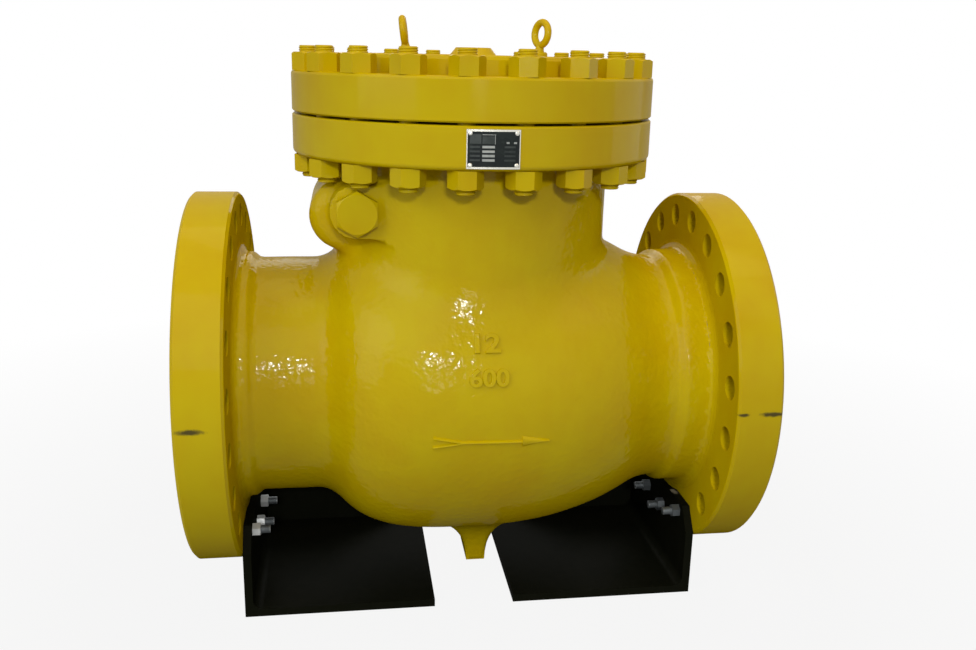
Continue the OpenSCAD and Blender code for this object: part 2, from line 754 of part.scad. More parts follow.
module plug_washers() color("dimgray") for (s = [-1, 1])
    translate([pin_x, s * boss_half_w, pin_z]) rotate([-s * 90, 0, 0])
        tube(plug_r + plug_washer_w, plug_r, plug_washer_thk);

// Eyebolt with its ring turned and leaning as it was left
module eyebolt(turn, lean) {
    ring_r = (eye_ring_d - eye_wire_d) / 2;
    translate([0, 0, -eye_shank_h]) cylinder(d = eye_shank_d, h = eye_shank_h + cut, $fn = 48);
    rotate_extrude($fn = 48) polygon([
        [0, 0],
        [collar_d / 2 - 1, 0],
        [collar_d / 2, 1],
        [collar_d / 2, collar_h - 2],
        [collar_d / 2 - 2, collar_h],
        [0, collar_h]
    ]);
    translate([0, 0, collar_h / 2]) rotate([0, lean, 0]) {
        cylinder(r1 = eye_wire_d * 0.75, r2 = eye_wire_d / 2, h = eye_neck_h + collar_h / 2, $fn = 48);
        translate([0, 0, collar_h / 2 + eye_neck_h - eye_wire_d / 2 + eye_ring_d / 2])
            rotate([90, 0, turn]) rotate_extrude($fn = 64)
                translate([ring_r, 0]) circle(d = eye_wire_d, $fn = 32);
    }
}

module left_eyebolt() color(yellow) translate([bonnet_x - eye_half_span, 0, axis_h + cover_boss_top_h])
    eyebolt(eye_turn_left, eye_lean_left);

module right_eyebolt() color(yellow) translate([bonnet_x + eye_half_span, 0, axis_h + cover_boss_top_h])
    eyebolt(eye_turn_right, eye_lean_right);

// Nameplate bent round the bonnet flange's rim
module nameplate() color("dimgray") {
    plate_z = axis_h + bonnet_under_h + (bonnet_flange_thk - plate_h) / 2;
    far_x = 2 * cover_r * sin(plate_sweep / 2);
    far_y = 2 * cover_r * cos(plate_sweep / 2);
    difference() {
        translate([bonnet_x, 0, plate_z]) intersection() {
            tube(cover_r + plate_thk, cover_r + thread_gap, plate_h, $fn = 128);
            rotate([0, 0, plate_turn]) linear_extrude(height = plate_h)
                polygon([[0, 0], [-far_x, -far_y], [far_x, -far_y]]);
        }
        rivet_places() translate([0, 0, cover_r - cut])
            cylinder(d = rivet_d + 2 * thread_gap, h = 2 * cut + plate_thk, $fn = 24);
    }
}

module nameplate_rivets() color("silver") rivet_places() {
    translate([0, 0, cover_r - rivet_depth])
        cylinder(d = rivet_d, h = rivet_depth + plate_thk + rivet_head_h / 2, $fn = 24);
    translate([0, 0, cover_r + plate_thk]) rotate_extrude($fn = 24) polygon([
        [0, 0],
        [rivet_head_d / 2, 0],
        [rivet_head_d / 2 * 0.92, rivet_head_h * 0.5],
        [rivet_head_d / 2 * 0.6, rivet_head_h * 0.9],
        [0, rivet_head_h]
    ]);
}

// Places of the stand bolts, along X at x, in the lowest holes of the end flange
module stand_bolt_places(x) {
    for (a = stand_bolt_angles)
        translate([x, end_bolt_r * sin(a), axis_h - end_bolt_r * cos(a) + stand_bolt_rise]) children();
}

// Angle plate of one stand at the outlet: upright against the flange, base towards the middle
module stand_blank() {
    inner_x = back_x - stand_thk;
    intersection() {
        rotate([90, 0, 0]) linear_extrude(height = 2 * stand_half_w, center = true) difference() {
            union() {
                translate([stand_inner, 0]) square([back_x - stand_inner, stand_thk]);
                translate([inner_x, 0]) square([stand_thk, stand_top_z]);
                translate([inner_x - stand_bend_r, 0]) square([stand_bend_r, stand_thk + stand_bend_r]);
            }
            translate([inner_x - stand_bend_r, stand_thk + stand_bend_r]) circle(r = stand_bend_r);
        }
        rotate([90, 0, 90]) linear_extrude(height = face_x) polygon([
            [-stand_half_w, 0],
            [stand_half_w, 0],
            [stand_half_w, stand_top_z - stand_corner_h],
            [stand_half_w - stand_corner_w, stand_top_z],
            [stand_corner_w - stand_half_w, stand_top_z],
            [-stand_half_w, stand_top_z - stand_corner_h]
        ]);
    }
}

// Upright plate welded along the rear edge of one stand
module gusset() {
    inner_x = back_x - stand_thk;
    translate([0, stand_half_w, 0]) rotate([90, 0, 0]) linear_extrude(height = gusset_thk) polygon([
        [stand_inner + stand_bend_r, stand_thk / 2],
        [inner_x + stand_thk / 2, stand_thk / 2],
        [inner_x + stand_thk / 2, gusset_top_z],
        [inner_x - gusset_flat, gusset_top_z],
        [stand_inner + stand_bend_r, stand_thk]
    ]);
}

module right_stand() color("black") difference() {
    union() {
        stand_blank();
        gusset();
    }
    along_pipe() cylinder(r = neck_r + root_r + stand_notch_gap, h = face_x);
    stand_bolt_places(back_x - stand_thk / 2) rotate([0, 90, 0])
        cylinder(d = stand_bolt_d + 1.5, h = 2 * stand_thk, center = true, $fn = 32);
}

module left_stand() mirror([1, 0, 0]) right_stand();

module right_stand_bolts() color("silver") {
    nut_x1 = back_x - stand_thk - stand_nut_h - stand_bolt_out;
    head_x = rim_x + stand_washer_thk;
    stand_bolt_places(0) rotate([0, 90, 0]) {
        translate([0, 0, nut_x1]) cylinder(d = stand_bolt_d, h = head_x - nut_x1 + cut, $fn = 32);
        translate([0, 0, head_x]) hexagon(stand_bolt_af, stand_head_h);
    }
}

module left_stand_bolts() mirror([1, 0, 0]) right_stand_bolts();

module right_stand_nuts() color("silver")
    for (i = [0:len(stand_bolt_angles) - 1]) let (a = stand_bolt_angles[i])
        translate([
            back_x - stand_thk,
            end_bolt_r * sin(a),
            axis_h - end_bolt_r * cos(a) + stand_bolt_rise
        ])
            rotate([0, -90, 0]) rotate([0, 0, i * 23 % 60])
                hexagon(stand_bolt_af, stand_nut_h, stand_bolt_d + 2 * thread_gap);

module left_stand_nuts() mirror([1, 0, 0]) right_stand_nuts();

module stand_washers() color("silver") for (m = [0, 1]) mirror([m, 0, 0])
    stand_bolt_places(rim_x) rotate([0, 90, 0])
        tube(stand_washer_d / 2, stand_bolt_d / 2 + thread_gap, stand_washer_thk);

body();
seat_ring();
cover();
cover_gasket();
cover_studs();
cover_top_nuts();
cover_bottom_nuts();
hinge_pin();
hinge_arm();
arm_bushes();
disc();
disc_washer();
disc_nut();
split_pin();
front_hinge_plug();
rear_hinge_plug();
plug_washers();
left_eyebolt();
right_eyebolt();
nameplate();
nameplate_rivets();
left_stand();
right_stand();
left_stand_bolts();
right_stand_bolts();
left_stand_nuts();
right_stand_nuts();
stand_washers();
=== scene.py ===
"""Dresses the non-return valve: cast skin, raised marks, threads, plate, paint, floor, lights and camera."""
import logging
import math
from collections.abc import Callable
from dataclasses import dataclass
from enum import Enum

import bmesh
import bpy
import numpy as np
from mathutils import Matrix, Vector


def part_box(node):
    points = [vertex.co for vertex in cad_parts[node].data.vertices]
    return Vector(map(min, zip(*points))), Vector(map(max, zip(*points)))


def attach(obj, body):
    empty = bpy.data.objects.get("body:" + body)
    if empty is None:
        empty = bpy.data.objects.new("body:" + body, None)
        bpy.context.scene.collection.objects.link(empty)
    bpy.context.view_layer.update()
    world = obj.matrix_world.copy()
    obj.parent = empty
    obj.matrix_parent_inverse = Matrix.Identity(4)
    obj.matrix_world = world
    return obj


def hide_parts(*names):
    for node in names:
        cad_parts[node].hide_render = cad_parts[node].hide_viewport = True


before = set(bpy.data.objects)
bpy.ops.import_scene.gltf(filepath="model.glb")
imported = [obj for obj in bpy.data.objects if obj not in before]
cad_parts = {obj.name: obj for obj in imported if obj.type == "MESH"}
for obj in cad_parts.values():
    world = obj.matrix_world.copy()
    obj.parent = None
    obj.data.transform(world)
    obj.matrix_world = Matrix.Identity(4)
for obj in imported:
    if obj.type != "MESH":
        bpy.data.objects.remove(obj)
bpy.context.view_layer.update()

log = logging.getLogger("valve")
MM = 0.001
VALVE = "valve"
# Height of the pipe axis above the floor and place of the bonnet's axis along the pipe, in millimetres
AXIS_H = 336.0
BONNET_X = 3.1
# Stands in for nought where something is divided by it
TINY = 1e-9

Field = Callable[[np.ndarray, np.ndarray, np.ndarray], np.ndarray]
Mesh = tuple[np.ndarray, np.ndarray]
Colour = tuple[float, float, float]
Place = tuple[float, float, float]
Pair = tuple[float, float]
Sides = tuple[float, float, float, float]
Socket = bpy.types.NodeSocket
Groups = dict[str, bpy.types.NodeTree]


class Side(Enum):
    """The two ends of the valve along the pipe."""

    INLET = -1
    OUTLET = 1


# ---------------------------------------------------------------- meshes


def mesh_piece(name: str, points: np.ndarray, faces: np.ndarray, smooth: bool = True) -> bpy.types.Object:
    """Makes an object from points in metres and faces that all have the same number of corners.

    Args:
        name: Name of the piece.
        points: Array (n, 3) in the shared frame, in metres.
        faces: Array (m, corners) of point numbers, counter-clockwise seen from outside.
        smooth: Whether the faces are shaded smoothly.

    Returns:
        The new object, at the origin.
    """
    mesh = bpy.data.meshes.new(name)
    corners = faces.shape[1]
    mesh.vertices.add(len(points))
    mesh.vertices.foreach_set("co", np.ascontiguousarray(points, dtype=np.float32).ravel())
    mesh.loops.add(faces.size)
    mesh.loops.foreach_set("vertex_index", np.ascontiguousarray(faces, dtype=np.int32).ravel())
    mesh.polygons.add(len(faces))
    mesh.polygons.foreach_set("loop_start", np.arange(len(faces), dtype=np.int32) * corners)
    mesh.polygons.foreach_set("use_smooth", np.full(len(faces), smooth))
    mesh.update(calc_edges=True)
    mesh.validate()
    piece = bpy.data.objects.new(name, mesh)
    bpy.context.scene.collection.objects.link(piece)
    return piece


def grid_faces(rows: int, columns: int) -> np.ndarray:
    """Quads over a grid of points that are numbered row by row, where each row closes on itself.

    Args:
        rows: Number of rows of points.
        columns: Number of points in a row.

    Returns:
        Array (m, 4) of point numbers.
    """
    row, column = np.meshgrid(np.arange(rows - 1), np.arange(columns), indexing="ij")
    after = (column + 1) % columns
    this, upper = row * columns, (row + 1) * columns
    return np.stack([this + column, this + after, upper + after, upper + column]).reshape(4, -1).T


def joined(parts: list[Mesh]) -> Mesh:
    """Several meshes as one.

    Args:
        parts: Points and faces of each mesh. All faces have the same number of corners.

    Returns:
        All points and all faces.
    """
    starts = np.cumsum([0] + [len(points) for points, _ in parts])
    faces = [own + start for (_, own), start in zip(parts, starts)]
    return np.concatenate([points for points, _ in parts]), np.concatenate(faces)


# ---------------------------------------------------------------- distance fields


def smooth_min(a: np.ndarray, b: np.ndarray, blend: float | np.ndarray) -> np.ndarray:
    """Smaller of two distances, rounded where they cross.

    It is min(a, b) less n squared over four blends, where n is what the blend leaves of their difference.

    Args:
        a: First distance.
        b: Second distance.
        blend: Difference at which the rounding starts.

    Returns:
        The rounded distance.
    """
    near = np.maximum(blend - np.abs(a - b), 0.0)
    return np.minimum(a, b) - near * near / (4.0 * blend)


def rounded(gaps: list[np.ndarray], edge: float) -> np.ndarray:
    """Distance to a block or drum with rounded edges: the root of the squared gaps outside, less the edge's radius.

    Args:
        gaps: Distance past each pair of sides of a core that is one edge radius smaller all round.
        edge: Radius of the edges.

    Returns:
        The distance, negative inside.
    """
    outside = np.sqrt(sum(np.maximum(gap, 0.0) ** 2 for gap in gaps))
    return np.minimum(np.maximum.reduce(gaps), 0.0) + outside - edge


def slopes(field: Field, x: np.ndarray, y: np.ndarray, z: np.ndarray, reach: float) -> np.ndarray:
    """Change of a field along each axis: its value one reach ahead less its value one reach behind.

    Args:
        field: The field.
        x: Places along the pipe, in millimetres.
        y: Places across it.
        z: Heights above the pipe axis.
        reach: Half the distance between the two values.

    Returns:
        Array (n, 3) of changes.
    """
    return np.stack([
        field(x + reach, y, z) - field(x - reach, y, z),
        field(x, y + reach, z) - field(x, y - reach, z),
        field(x, y, z + reach) - field(x, y, z - reach),
    ], axis=1)


def surface_net(field: Field, low: np.ndarray, high: np.ndarray, step: float) -> Mesh:
    """Closed mesh of the surface where a field is zero.

    The field is worked out on a grid of boxes. Each box that the surface crosses gets one point, the mean of the
    crossings on its twelve edges, and each grid edge that the surface crosses gets one quad between its four boxes.

    Args:
        field: The field, negative inside.
        low: Lowest corner of the grid, in millimetres.
        high: Highest corner of the grid.
        step: Size of a box.

    Returns:
        Points (n, 3) in millimetres and quads (m, 4) that face outwards.
    """
    axes = [np.arange(low[i], high[i] + step, step) for i in range(3)]
    values = field(*np.meshgrid(*axes, indexing="ij"))
    shape = np.array(values.shape) - 1
    corners = np.array([[i, j, k] for i in (0, 1) for j in (0, 1) for k in (0, 1)])
    inside = values < 0
    count = sum(inside[i:i + shape[0], j:j + shape[1], k:k + shape[2]].astype(np.int8) for i, j, k in corners)
    cells = np.argwhere((count > 0) & (count < len(corners)))
    at = [values[cells[:, 0] + i, cells[:, 1] + j, cells[:, 2] + k] for i, j, k in corners]
    total = np.zeros((len(cells), 3))
    hits = np.zeros(len(cells))
    for a in range(len(corners)):
        for b in range(a + 1, len(corners)):
            if np.abs(corners[a] - corners[b]).sum() != 1:
                continue
            crossed = (at[a] < 0) != (at[b] < 0)
            share = np.where(crossed, at[a] / np.where(crossed, at[a] - at[b], 1.0), 0.0)
            spot = corners[a] + share[:, None] * (corners[b] - corners[a])
            total += spot * crossed[:, None]
            hits += crossed
    points = low + step * (cells + total / hits[:, None])
    number = np.full(shape, -1, dtype=np.int64)
    number[cells[:, 0], cells[:, 1], cells[:, 2]] = np.arange(len(cells))
    quads = []
    for axis in range(3):
        first, second = (axis + 1) % 3, (axis + 2) % 3
        here = [slice(1, -1)] * 3
        there = list(here)
        here[axis], there[axis] = slice(0, -1), slice(1, None)
        start, stop = inside[tuple(here)], inside[tuple(there)]
        edges = np.argwhere(start != stop)
        outward = start[edges[:, 0], edges[:, 1], edges[:, 2]]
        edges[:, [first, second]] += 1
        ring = []
        for back_first, back_second in ((1, 1), (0, 1), (0, 0), (1, 0)):
            cell = edges.copy()
            cell[:, first] -= back_first
            cell[:, second] -= back_second
            ring.append(number[cell[:, 0], cell[:, 1], cell[:, 2]])
        quad = np.stack(ring, axis=1)
        quads.append(np.where(outward[:, None], quad, quad[:, ::-1]))
    return points, np.concatenate(quads)


# ---------------------------------------------------------------- cast body


@dataclass(frozen=True)
class CastForm:
    """The outside of the cast body as one field of distances, negative inside the metal.

    All lengths are in millimetres from the pipe axis, midway along the valve. The methods take arrays of x along the
    pipe, y across it and z upwards, or r, the distance from the axis, and give an array of distances.
    """

    neck_r: float = 179.5
    belly_r: float = 249.2
    belly_in: float = 240.3
    belly_out: float = 362.9
    power_in: float = 3.3
    power_out: float = 2.15
    belly_blend_in: float = 22.0
    belly_blend_out: float = 16.0
    hub_in: float = 316.0
    hub_out: float = 292.0
    hub_length: float = 14.0
    hub_rise: float = 8.5
    flange_x: float = 345.6
    root_r: float = 27.0
    bonnet_r: float = 203.0
    bonnet_side_fillet: float = 14.0
    bonnet_front_fillet: float = 30.0
    pin_x: float = -172.0
    pin_z: float = 273.0
    housing_x: float = -187.5
    housing_z: float = 260.0
    housing_r: float = 51.0
    housing_half_w: float = 98.0
    housing_edge: float = 20.0
    housing_fillet: float = 22.0
    boss_r: float = 37.0
    boss_half_w: float = 151.8
    boss_fillet: float = 16.0
    rib_x: float = 16.0
    rib_half_thk: float = 15.4
    rib_half_w: float = 40.5
    rib_half_h: float = 60.0
    rib_bottom: float = -321.4
    rib_edge: float = 5.0
    rib_fillet: float = 75.0
    front_far: float = -330.0
    front_near: float = -60.0
    halvings: int = 24
    least_slope: float = 1e-6

    def neck_profile(self, x: np.ndarray) -> np.ndarray:
        """Radius of the necks at x, in millimetres.

        The hub is a low step on the neck, its rise times 3 t ** 2 - 2 t ** 3, where t runs from 0 to 1 over its
        length. The flange's root is a quarter circle.

        Args:
            x: Places along the pipe.

        Returns:
            The radii.
        """
        t = np.clip((np.abs(x) - np.where(x < 0, self.hub_in, self.hub_out)) / self.hub_length, 0.0, 1.0)
        hub = self.neck_r + self.hub_rise * (3.0 * t * t - 2.0 * t ** 3)
        into_root = np.clip(np.abs(x) - (self.flange_x - self.root_r), 0.0, self.root_r)
        root = self.neck_r + self.root_r - np.sqrt(self.root_r ** 2 - into_root ** 2)
        return np.maximum(hub, root)

    def neck(self, x: np.ndarray, r: np.ndarray) -> np.ndarray:
        """Distance to the necks: r less the profile's radius, divided by the length of its slope."""
        slope = (self.neck_profile(x + 1.0) - self.neck_profile(x - 1.0)) / 2.0
        return (r - self.neck_profile(x)) / np.sqrt(1.0 + slope * slope)

    def belly(self, x: np.ndarray, r: np.ndarray) -> np.ndarray:
        """Distance to the belly, a squarish ellipse turned about the axis.

        On its surface (|x| / half length) ** power + (r / radius) ** power is 1. The distance is the power-th root of
        that sum less one, divided by the slope of the root. The inlet side is shorter and has a higher power.

        Args:
            x: Places along the pipe.
            r: Distances from its axis.

        Returns:
            The distances.
        """
        half = np.where(x < 0, self.belly_in, self.belly_out)
        power = np.where(x < 0, self.power_in, self.power_out)
        along, out = np.abs(x) / half, r / self.belly_r
        total = np.maximum(along ** power + out ** power, TINY)
        slope = np.hypot(along ** (power - 1.0) / half, out ** (power - 1.0) / self.belly_r)
        return (total ** (1.0 / power) - 1.0) / np.maximum(slope * total ** (1.0 / power - 1.0), self.least_slope)

    def barrel(self, x: np.ndarray, y: np.ndarray, z: np.ndarray) -> np.ndarray:
        """Distance to the barrel: the belly and the necks, rounded where they cross.

        Args:
            x: Places along the pipe.
            y: Places across it.
            z: Heights above the pipe axis.

        Returns:
            The distances.
        """
        r = np.hypot(y, z)
        blend = np.where(x < 0, self.belly_blend_in, self.belly_blend_out)
        return smooth_min(self.belly(x, r), self.neck(x, r), blend)

    def housing(self, x: np.ndarray, y: np.ndarray, z: np.ndarray) -> np.ndarray:
        """Distance to the hinge housing: a drum along Y with rounded ends.

        Args:
            x: Places along the pipe.
            y: Places across it.
            z: Heights above the pipe axis.

        Returns:
            The distances.
        """
        side = np.hypot(x - self.housing_x, z - self.housing_z) - (self.housing_r - self.housing_edge)
        end = np.abs(y) - (self.housing_half_w - self.housing_edge)
        return rounded([side, end], self.housing_edge)

    def bosses(self, x: np.ndarray, y: np.ndarray, z: np.ndarray) -> np.ndarray:
        """Distance to the two pin bosses: a bar from the pin to the bonnet's axis with a half round on its left."""
        side = np.hypot(np.minimum(x - self.pin_x, 0.0), z - self.pin_z) - self.boss_r
        return np.maximum(np.maximum(side, np.abs(y) - self.boss_half_w), x - BONNET_X)

    def rib(self, x: np.ndarray, y: np.ndarray, z: np.ndarray) -> np.ndarray:
        """Distance to the foot rib: a slab with rounded edges below the belly."""
        return rounded([
            np.abs(x - self.rib_x) - (self.rib_half_thk - self.rib_edge),
            np.abs(y) - (self.rib_half_w - self.rib_edge),
            np.abs(z - (self.rib_bottom + self.rib_half_h)) - (self.rib_half_h - self.rib_edge),
        ], self.rib_edge)

    def outside(self, x: np.ndarray, y: np.ndarray, z: np.ndarray) -> np.ndarray:
        """Distance to the whole casting.

        The bonnet neck, housing, bosses and rib are blended into the barrel, each with its own fillet. The bonnet's
        fillet grows from the sides to the front with the square of y over its radius.

        Args:
            x: Places along the pipe.
            y: Places across it.
            z: Heights above the pipe axis.

        Returns:
            The distances.
        """
        neck = np.maximum(np.hypot(x - BONNET_X, y) - self.bonnet_r, -z)
        to_front = np.clip(np.abs(y) / self.bonnet_r, 0.0, 1.0) ** 2
        fillet = self.bonnet_side_fillet + (self.bonnet_front_fillet - self.bonnet_side_fillet) * to_front
        form = smooth_min(self.barrel(x, y, z), neck, fillet)
        form = smooth_min(form, self.housing(x, y, z), self.housing_fillet)
        form = smooth_min(form, self.bosses(x, y, z), self.boss_fillet)
        return smooth_min(form, self.rib(x, y, z), self.rib_fillet)

    def front_y(self, x: np.ndarray, z: np.ndarray) -> np.ndarray:
        """Place of the front surface at each (x, z), found by halving the stretch between outside and inside.

        Args:
            x: Places along the pipe, in millimetres.
            z: Heights above the pipe axis, in millimetres.

        Returns:
            The y of the surface, in millimetres.
        """
        out = np.full_like(x, self.front_far)
        inner = np.full_like(x, self.front_near)
        for _ in range(self.halvings):
            middle = (out + inner) / 2.0
            free = self.outside(x, middle, z) > 0.0
            out = np.where(free, middle, out)
            inner = np.where(free, inner, middle)
        return inner


@dataclass(frozen=True)
class CastSkin:
    """The casting's painted skin: a closed shell just over the solid body that carries the cast fillets.

    Lengths are in millimetres. Outside its two fades the skin is proud of the form, and past them it is sunk.
    """

    form: CastForm = CastForm()
    step: float = 5.7
    proud: float = 0.5
    sunk: float = 0.5
    shell: float = 11.0
    end_x: float = 346.0
    root_fade_x: float = 339.5
    root_fade_length: float = 4.0
    top_z: float = 339.0
    fade_z: float = 318.0
    fade_length: float = 20.0
    half_y: float = 276.0
    bottom_z: float = -334.0
    margin: float = 9.0
    reach: float = 0.5
    flattest: float = 0.25
    settlings: int = 4
    uneven: float = 0.15
    wave_x: float = 13.0
    wave_z: float = 15.0
    bend_x: float = 1.9
    bend_z: float = 1.4
    bend_lengths: tuple[float, float, float] = (31.0, 53.0, 37.0)
    drift_y: float = 41.0

    def unevenness(self, x: np.ndarray, y: np.ndarray, z: np.ndarray) -> np.ndarray:
        """Slow waves of the rough casting: a product of a sine along the pipe and one up it, each bent by another.

        Args:
            x: Places along the pipe.
            y: Places across it.
            z: Heights above the pipe axis.

        Returns:
            Numbers from -1 to 1.
        """
        over_z, over_y, over_x = self.bend_lengths
        along = np.sin(x / self.wave_x + self.bend_x * np.sin(z / over_z + y / over_y))
        return along * np.sin(z / self.wave_z + self.bend_z * np.sin(x / over_x) + y / self.drift_y)

    def field(self, x: np.ndarray, y: np.ndarray, z: np.ndarray) -> np.ndarray:
        """Distance to the skin's outer face.

        It is the form's distance less the skin's height, which sinks into the bonnet neck above and into the flange
        roots at both ends.

        Args:
            x: Places along the pipe.
            y: Places across it.
            z: Heights above the pipe axis.

        Returns:
            The distances.
        """
        sink = np.clip((z - self.fade_z) / self.fade_length, 0.0, 1.0)
        sink = np.maximum(sink, np.clip((np.abs(x) - self.root_fade_x) / self.root_fade_length, 0.0, 1.0))
        height = self.proud + self.uneven * (1.0 - sink) * self.unevenness(x, y, z)
        return self.form.outside(x, y, z) - height + (self.proud + self.sunk) * sink

    def shell_field(self, x: np.ndarray, y: np.ndarray, z: np.ndarray) -> np.ndarray:
        """Distance to the shell: inside the outer face, no deeper than its thickness, and between the flanges.

        Args:
            x: Places along the pipe.
            y: Places across it.
            z: Heights above the pipe axis.

        Returns:
            The distances.
        """
        outer = self.field(x, y, z)
        shell = np.maximum(outer, -outer - self.shell)
        return np.maximum(np.maximum(shell, np.abs(x) - self.end_x), z - self.top_z)

    def build(self) -> bpy.types.Object:
        """Meshes the shell, settles its points on the field and takes its normals from the outer face's slope.

        Returns:
            The skin.
        """
        low = np.array([-self.end_x - self.margin, -self.half_y, self.bottom_z])
        high = np.array([self.end_x + self.margin, self.half_y, self.top_z + self.margin])
        points, quads = surface_net(self.shell_field, low, high, self.step)
        for _ in range(self.settlings):
            slope = slopes(self.shell_field, *points.T, self.reach)
            size = np.maximum((slope * slope).sum(axis=1), self.flattest)
            move = np.clip(self.shell_field(*points.T) / size, -self.step, self.step)
            points = points - slope * move[:, None]
        slope = slopes(self.field, *points.T, self.reach)
        slope[self.field(*points.T) < -self.shell / 2.0] *= -1.0
        normals = slope / np.maximum(np.linalg.norm(slope, axis=1), TINY)[:, None]
        piece = mesh_piece("body_casting_skin", (points + [0.0, 0.0, AXIS_H]) * MM, quads)
        piece.data.normals_split_custom_set_from_vertices(normals.tolist())
        return piece


# ---------------------------------------------------------------- raised marks


@dataclass(frozen=True)
class RaisedMark:
    """A raised cast mark on the front of the casting. Lengths are in millimetres from the valve's middle."""

    name: str
    centre_x: float
    centre_z: float
    width: float
    height: float
    relief: float
    form: CastForm = CastForm()

    def wrap(self, points: np.ndarray, faces: np.ndarray) -> bpy.types.Object:
        """Lays a mark on the casting: its x runs along the pipe, its y upwards, and its z becomes height.

        Args:
            points: Array (n, 3) in millimetres about the mark's own centre.
            faces: Array (m, corners) of its faces.

        Returns:
            The raised mark as a closed piece.
        """
        x = points[:, 0] + self.centre_x
        z = points[:, 1] + self.centre_z
        y = self.form.front_y(x, z)
        slope = slopes(self.form.outside, x, y, z, 1.0)
        normal = slope / np.linalg.norm(slope, axis=1)[:, None]
        placed = np.stack([x, y, z + AXIS_H], axis=1) + normal * points[:, 2:3]
        return mesh_piece(self.name, placed * MM, faces, smooth=False)


@dataclass(frozen=True)
class RaisedNumber(RaisedMark):
    """A raised plain number in Blender's own typeface, with rounded edges."""

    text: str = "0"
    type_size: float = 1.4
    round_edge: float = 0.8
    half_depth: float = 2.6
    bolder: float = 0.45
    edge_steps: int = 2
    curve_steps: int = 5
    merge: float = 0.001

    def flat_solid(self) -> Mesh:
        """The number as a closed mesh of triangles about Blender's own place for it.

        Returns:
            Its points in millimetres and its faces.
        """
        curve = bpy.data.curves.new(self.name, "FONT")
        curve.body = self.text
        curve.size = self.height * self.type_size
        curve.extrude = self.half_depth
        curve.bevel_depth = self.round_edge
        curve.offset = self.bolder
        curve.bevel_resolution = self.edge_steps
        curve.resolution_u = self.curve_steps
        holder = bpy.data.objects.new(self.name + "_flat", curve)
        bpy.context.scene.collection.objects.link(holder)
        bpy.context.view_layer.update()
        solid = bpy.data.meshes.new_from_object(holder.evaluated_get(bpy.context.evaluated_depsgraph_get()))
        bpy.data.objects.remove(holder)
        work = bmesh.new()
        work.from_mesh(solid)
        bmesh.ops.remove_doubles(work, verts=work.verts, dist=self.merge)
        bmesh.ops.triangulate(work, faces=work.faces)
        bmesh.ops.recalc_face_normals(work, faces=work.faces)
        points = np.array([vert.co[:] for vert in work.verts])
        faces = np.array([[vert.index for vert in face.verts] for face in work.faces])
        work.free()
        return points, faces

    def build(self) -> bpy.types.Object:
        """Scales the number to its width and height, sinks it to its relief and wraps it on the casting.

        Returns:
            The number.
        """
        points, faces = self.flat_solid()
        low, high = points.min(axis=0), points.max(axis=0)
        scale = np.array([self.width, self.height]) / (high - low)[:2]
        points[:, :2] = (points - (low + high) / 2.0)[:, :2] * scale
        points[:, 2] += self.relief - high[2]
        return self.wrap(points, faces)


@dataclass(frozen=True)
class FlowArrow(RaisedMark):
    """The raised flow arrow: a shaft, a head at the outlet side and two tail feathers, each a rounded ridge.

    The ends of the shaft, the head and the feathers are shares of half the arrow's width from its centre, and the
    feathers' tips and roots are shares of half its height. Half widths of the ridges are in millimetres.
    """

    shaft_ends: Pair = (-0.60, 0.66)
    shaft_half: Pair = (2.7, 2.5)
    head_start: float = 0.52
    tip_half: float = 0.6
    feather_ends: Pair = (-0.55, -0.53)
    feather_tip: float = 0.80
    feather_root: float = 0.12
    feather_half: Pair = (2.6, 2.2)
    tilt: float = -0.9
    foot: float = 2.0
    rows: int = 25
    section: tuple[float, ...] = (1.0, 0.85, 0.55, 0.2, -0.2, -0.55, -0.85, -1.0, -1.0, 1.0)

    def ridge(self, start: Pair, end: Pair, first: float, last: float) -> Mesh:
        """One ridge as a closed grid.

        Along the ridge the half width runs evenly from one end to the other and closes at both. Across it the height
        is the relief times (1 - |s| ** 3), where s runs from -1 to 1, and the underside is flat.

        Args:
            start: Where the ridge's middle line starts, in millimetres about the arrow's centre.
            end: Where it ends.
            first: Half width at the start.
            last: Half width at the end.

        Returns:
            Its points and faces.
        """
        t = np.concatenate([[0.0], np.linspace(0.0, 1.0, self.rows), [1.0]])
        half = first + (last - first) * t
        half[[0, -1]] = 0.0
        s = np.array(self.section)
        rise = self.relief * (1.0 - np.abs(s) ** 3)
        rise[-2:] = -self.foot
        direction = np.array(end) - np.array(start)
        side = np.array([-direction[1], direction[0]]) / np.linalg.norm(direction)
        middle = np.array(start) + t[:, None] * direction
        flat = middle[:, None, :] + half[:, None, None] * s[None, :, None] * side
        height = np.broadcast_to(rise, (len(t), len(s))).copy()
        height[[0, -1]] = (self.relief - self.foot) / 2.0
        grid = np.concatenate([flat, height[:, :, None]], axis=2)
        return grid.reshape(-1, 3), grid_faces(len(t), len(s))[:, ::-1]

    def build(self) -> bpy.types.Object:
        """Joins the shaft, the head and the feathers, tilts them and wraps them on the casting.

        Returns:
            The arrow.
        """
        w, h = self.width / 2.0, self.height / 2.0
        back, front = self.shaft_ends
        shaft = self.ridge((back * w, 0.0), (front * w, 0.0), *self.shaft_half)
        head = self.ridge((self.head_start * w, 0.0), (w, 0.0), h, self.tip_half)
        tip, root = self.feather_tip * h, self.feather_root * h
        feathers = [
            self.ridge((-w, side * tip), (end * w, side * root), *self.feather_half)
            for side, end in zip((1.0, -1.0), self.feather_ends)
        ]
        points, faces = joined([shaft, head, *feathers])
        cos, sin = math.cos(math.radians(self.tilt)), math.sin(math.radians(self.tilt))
        return self.wrap(points @ np.array([[cos, sin, 0.0], [-sin, cos, 0.0], [0.0, 0.0, 1.0]]), faces)


# ---------------------------------------------------------------- threads


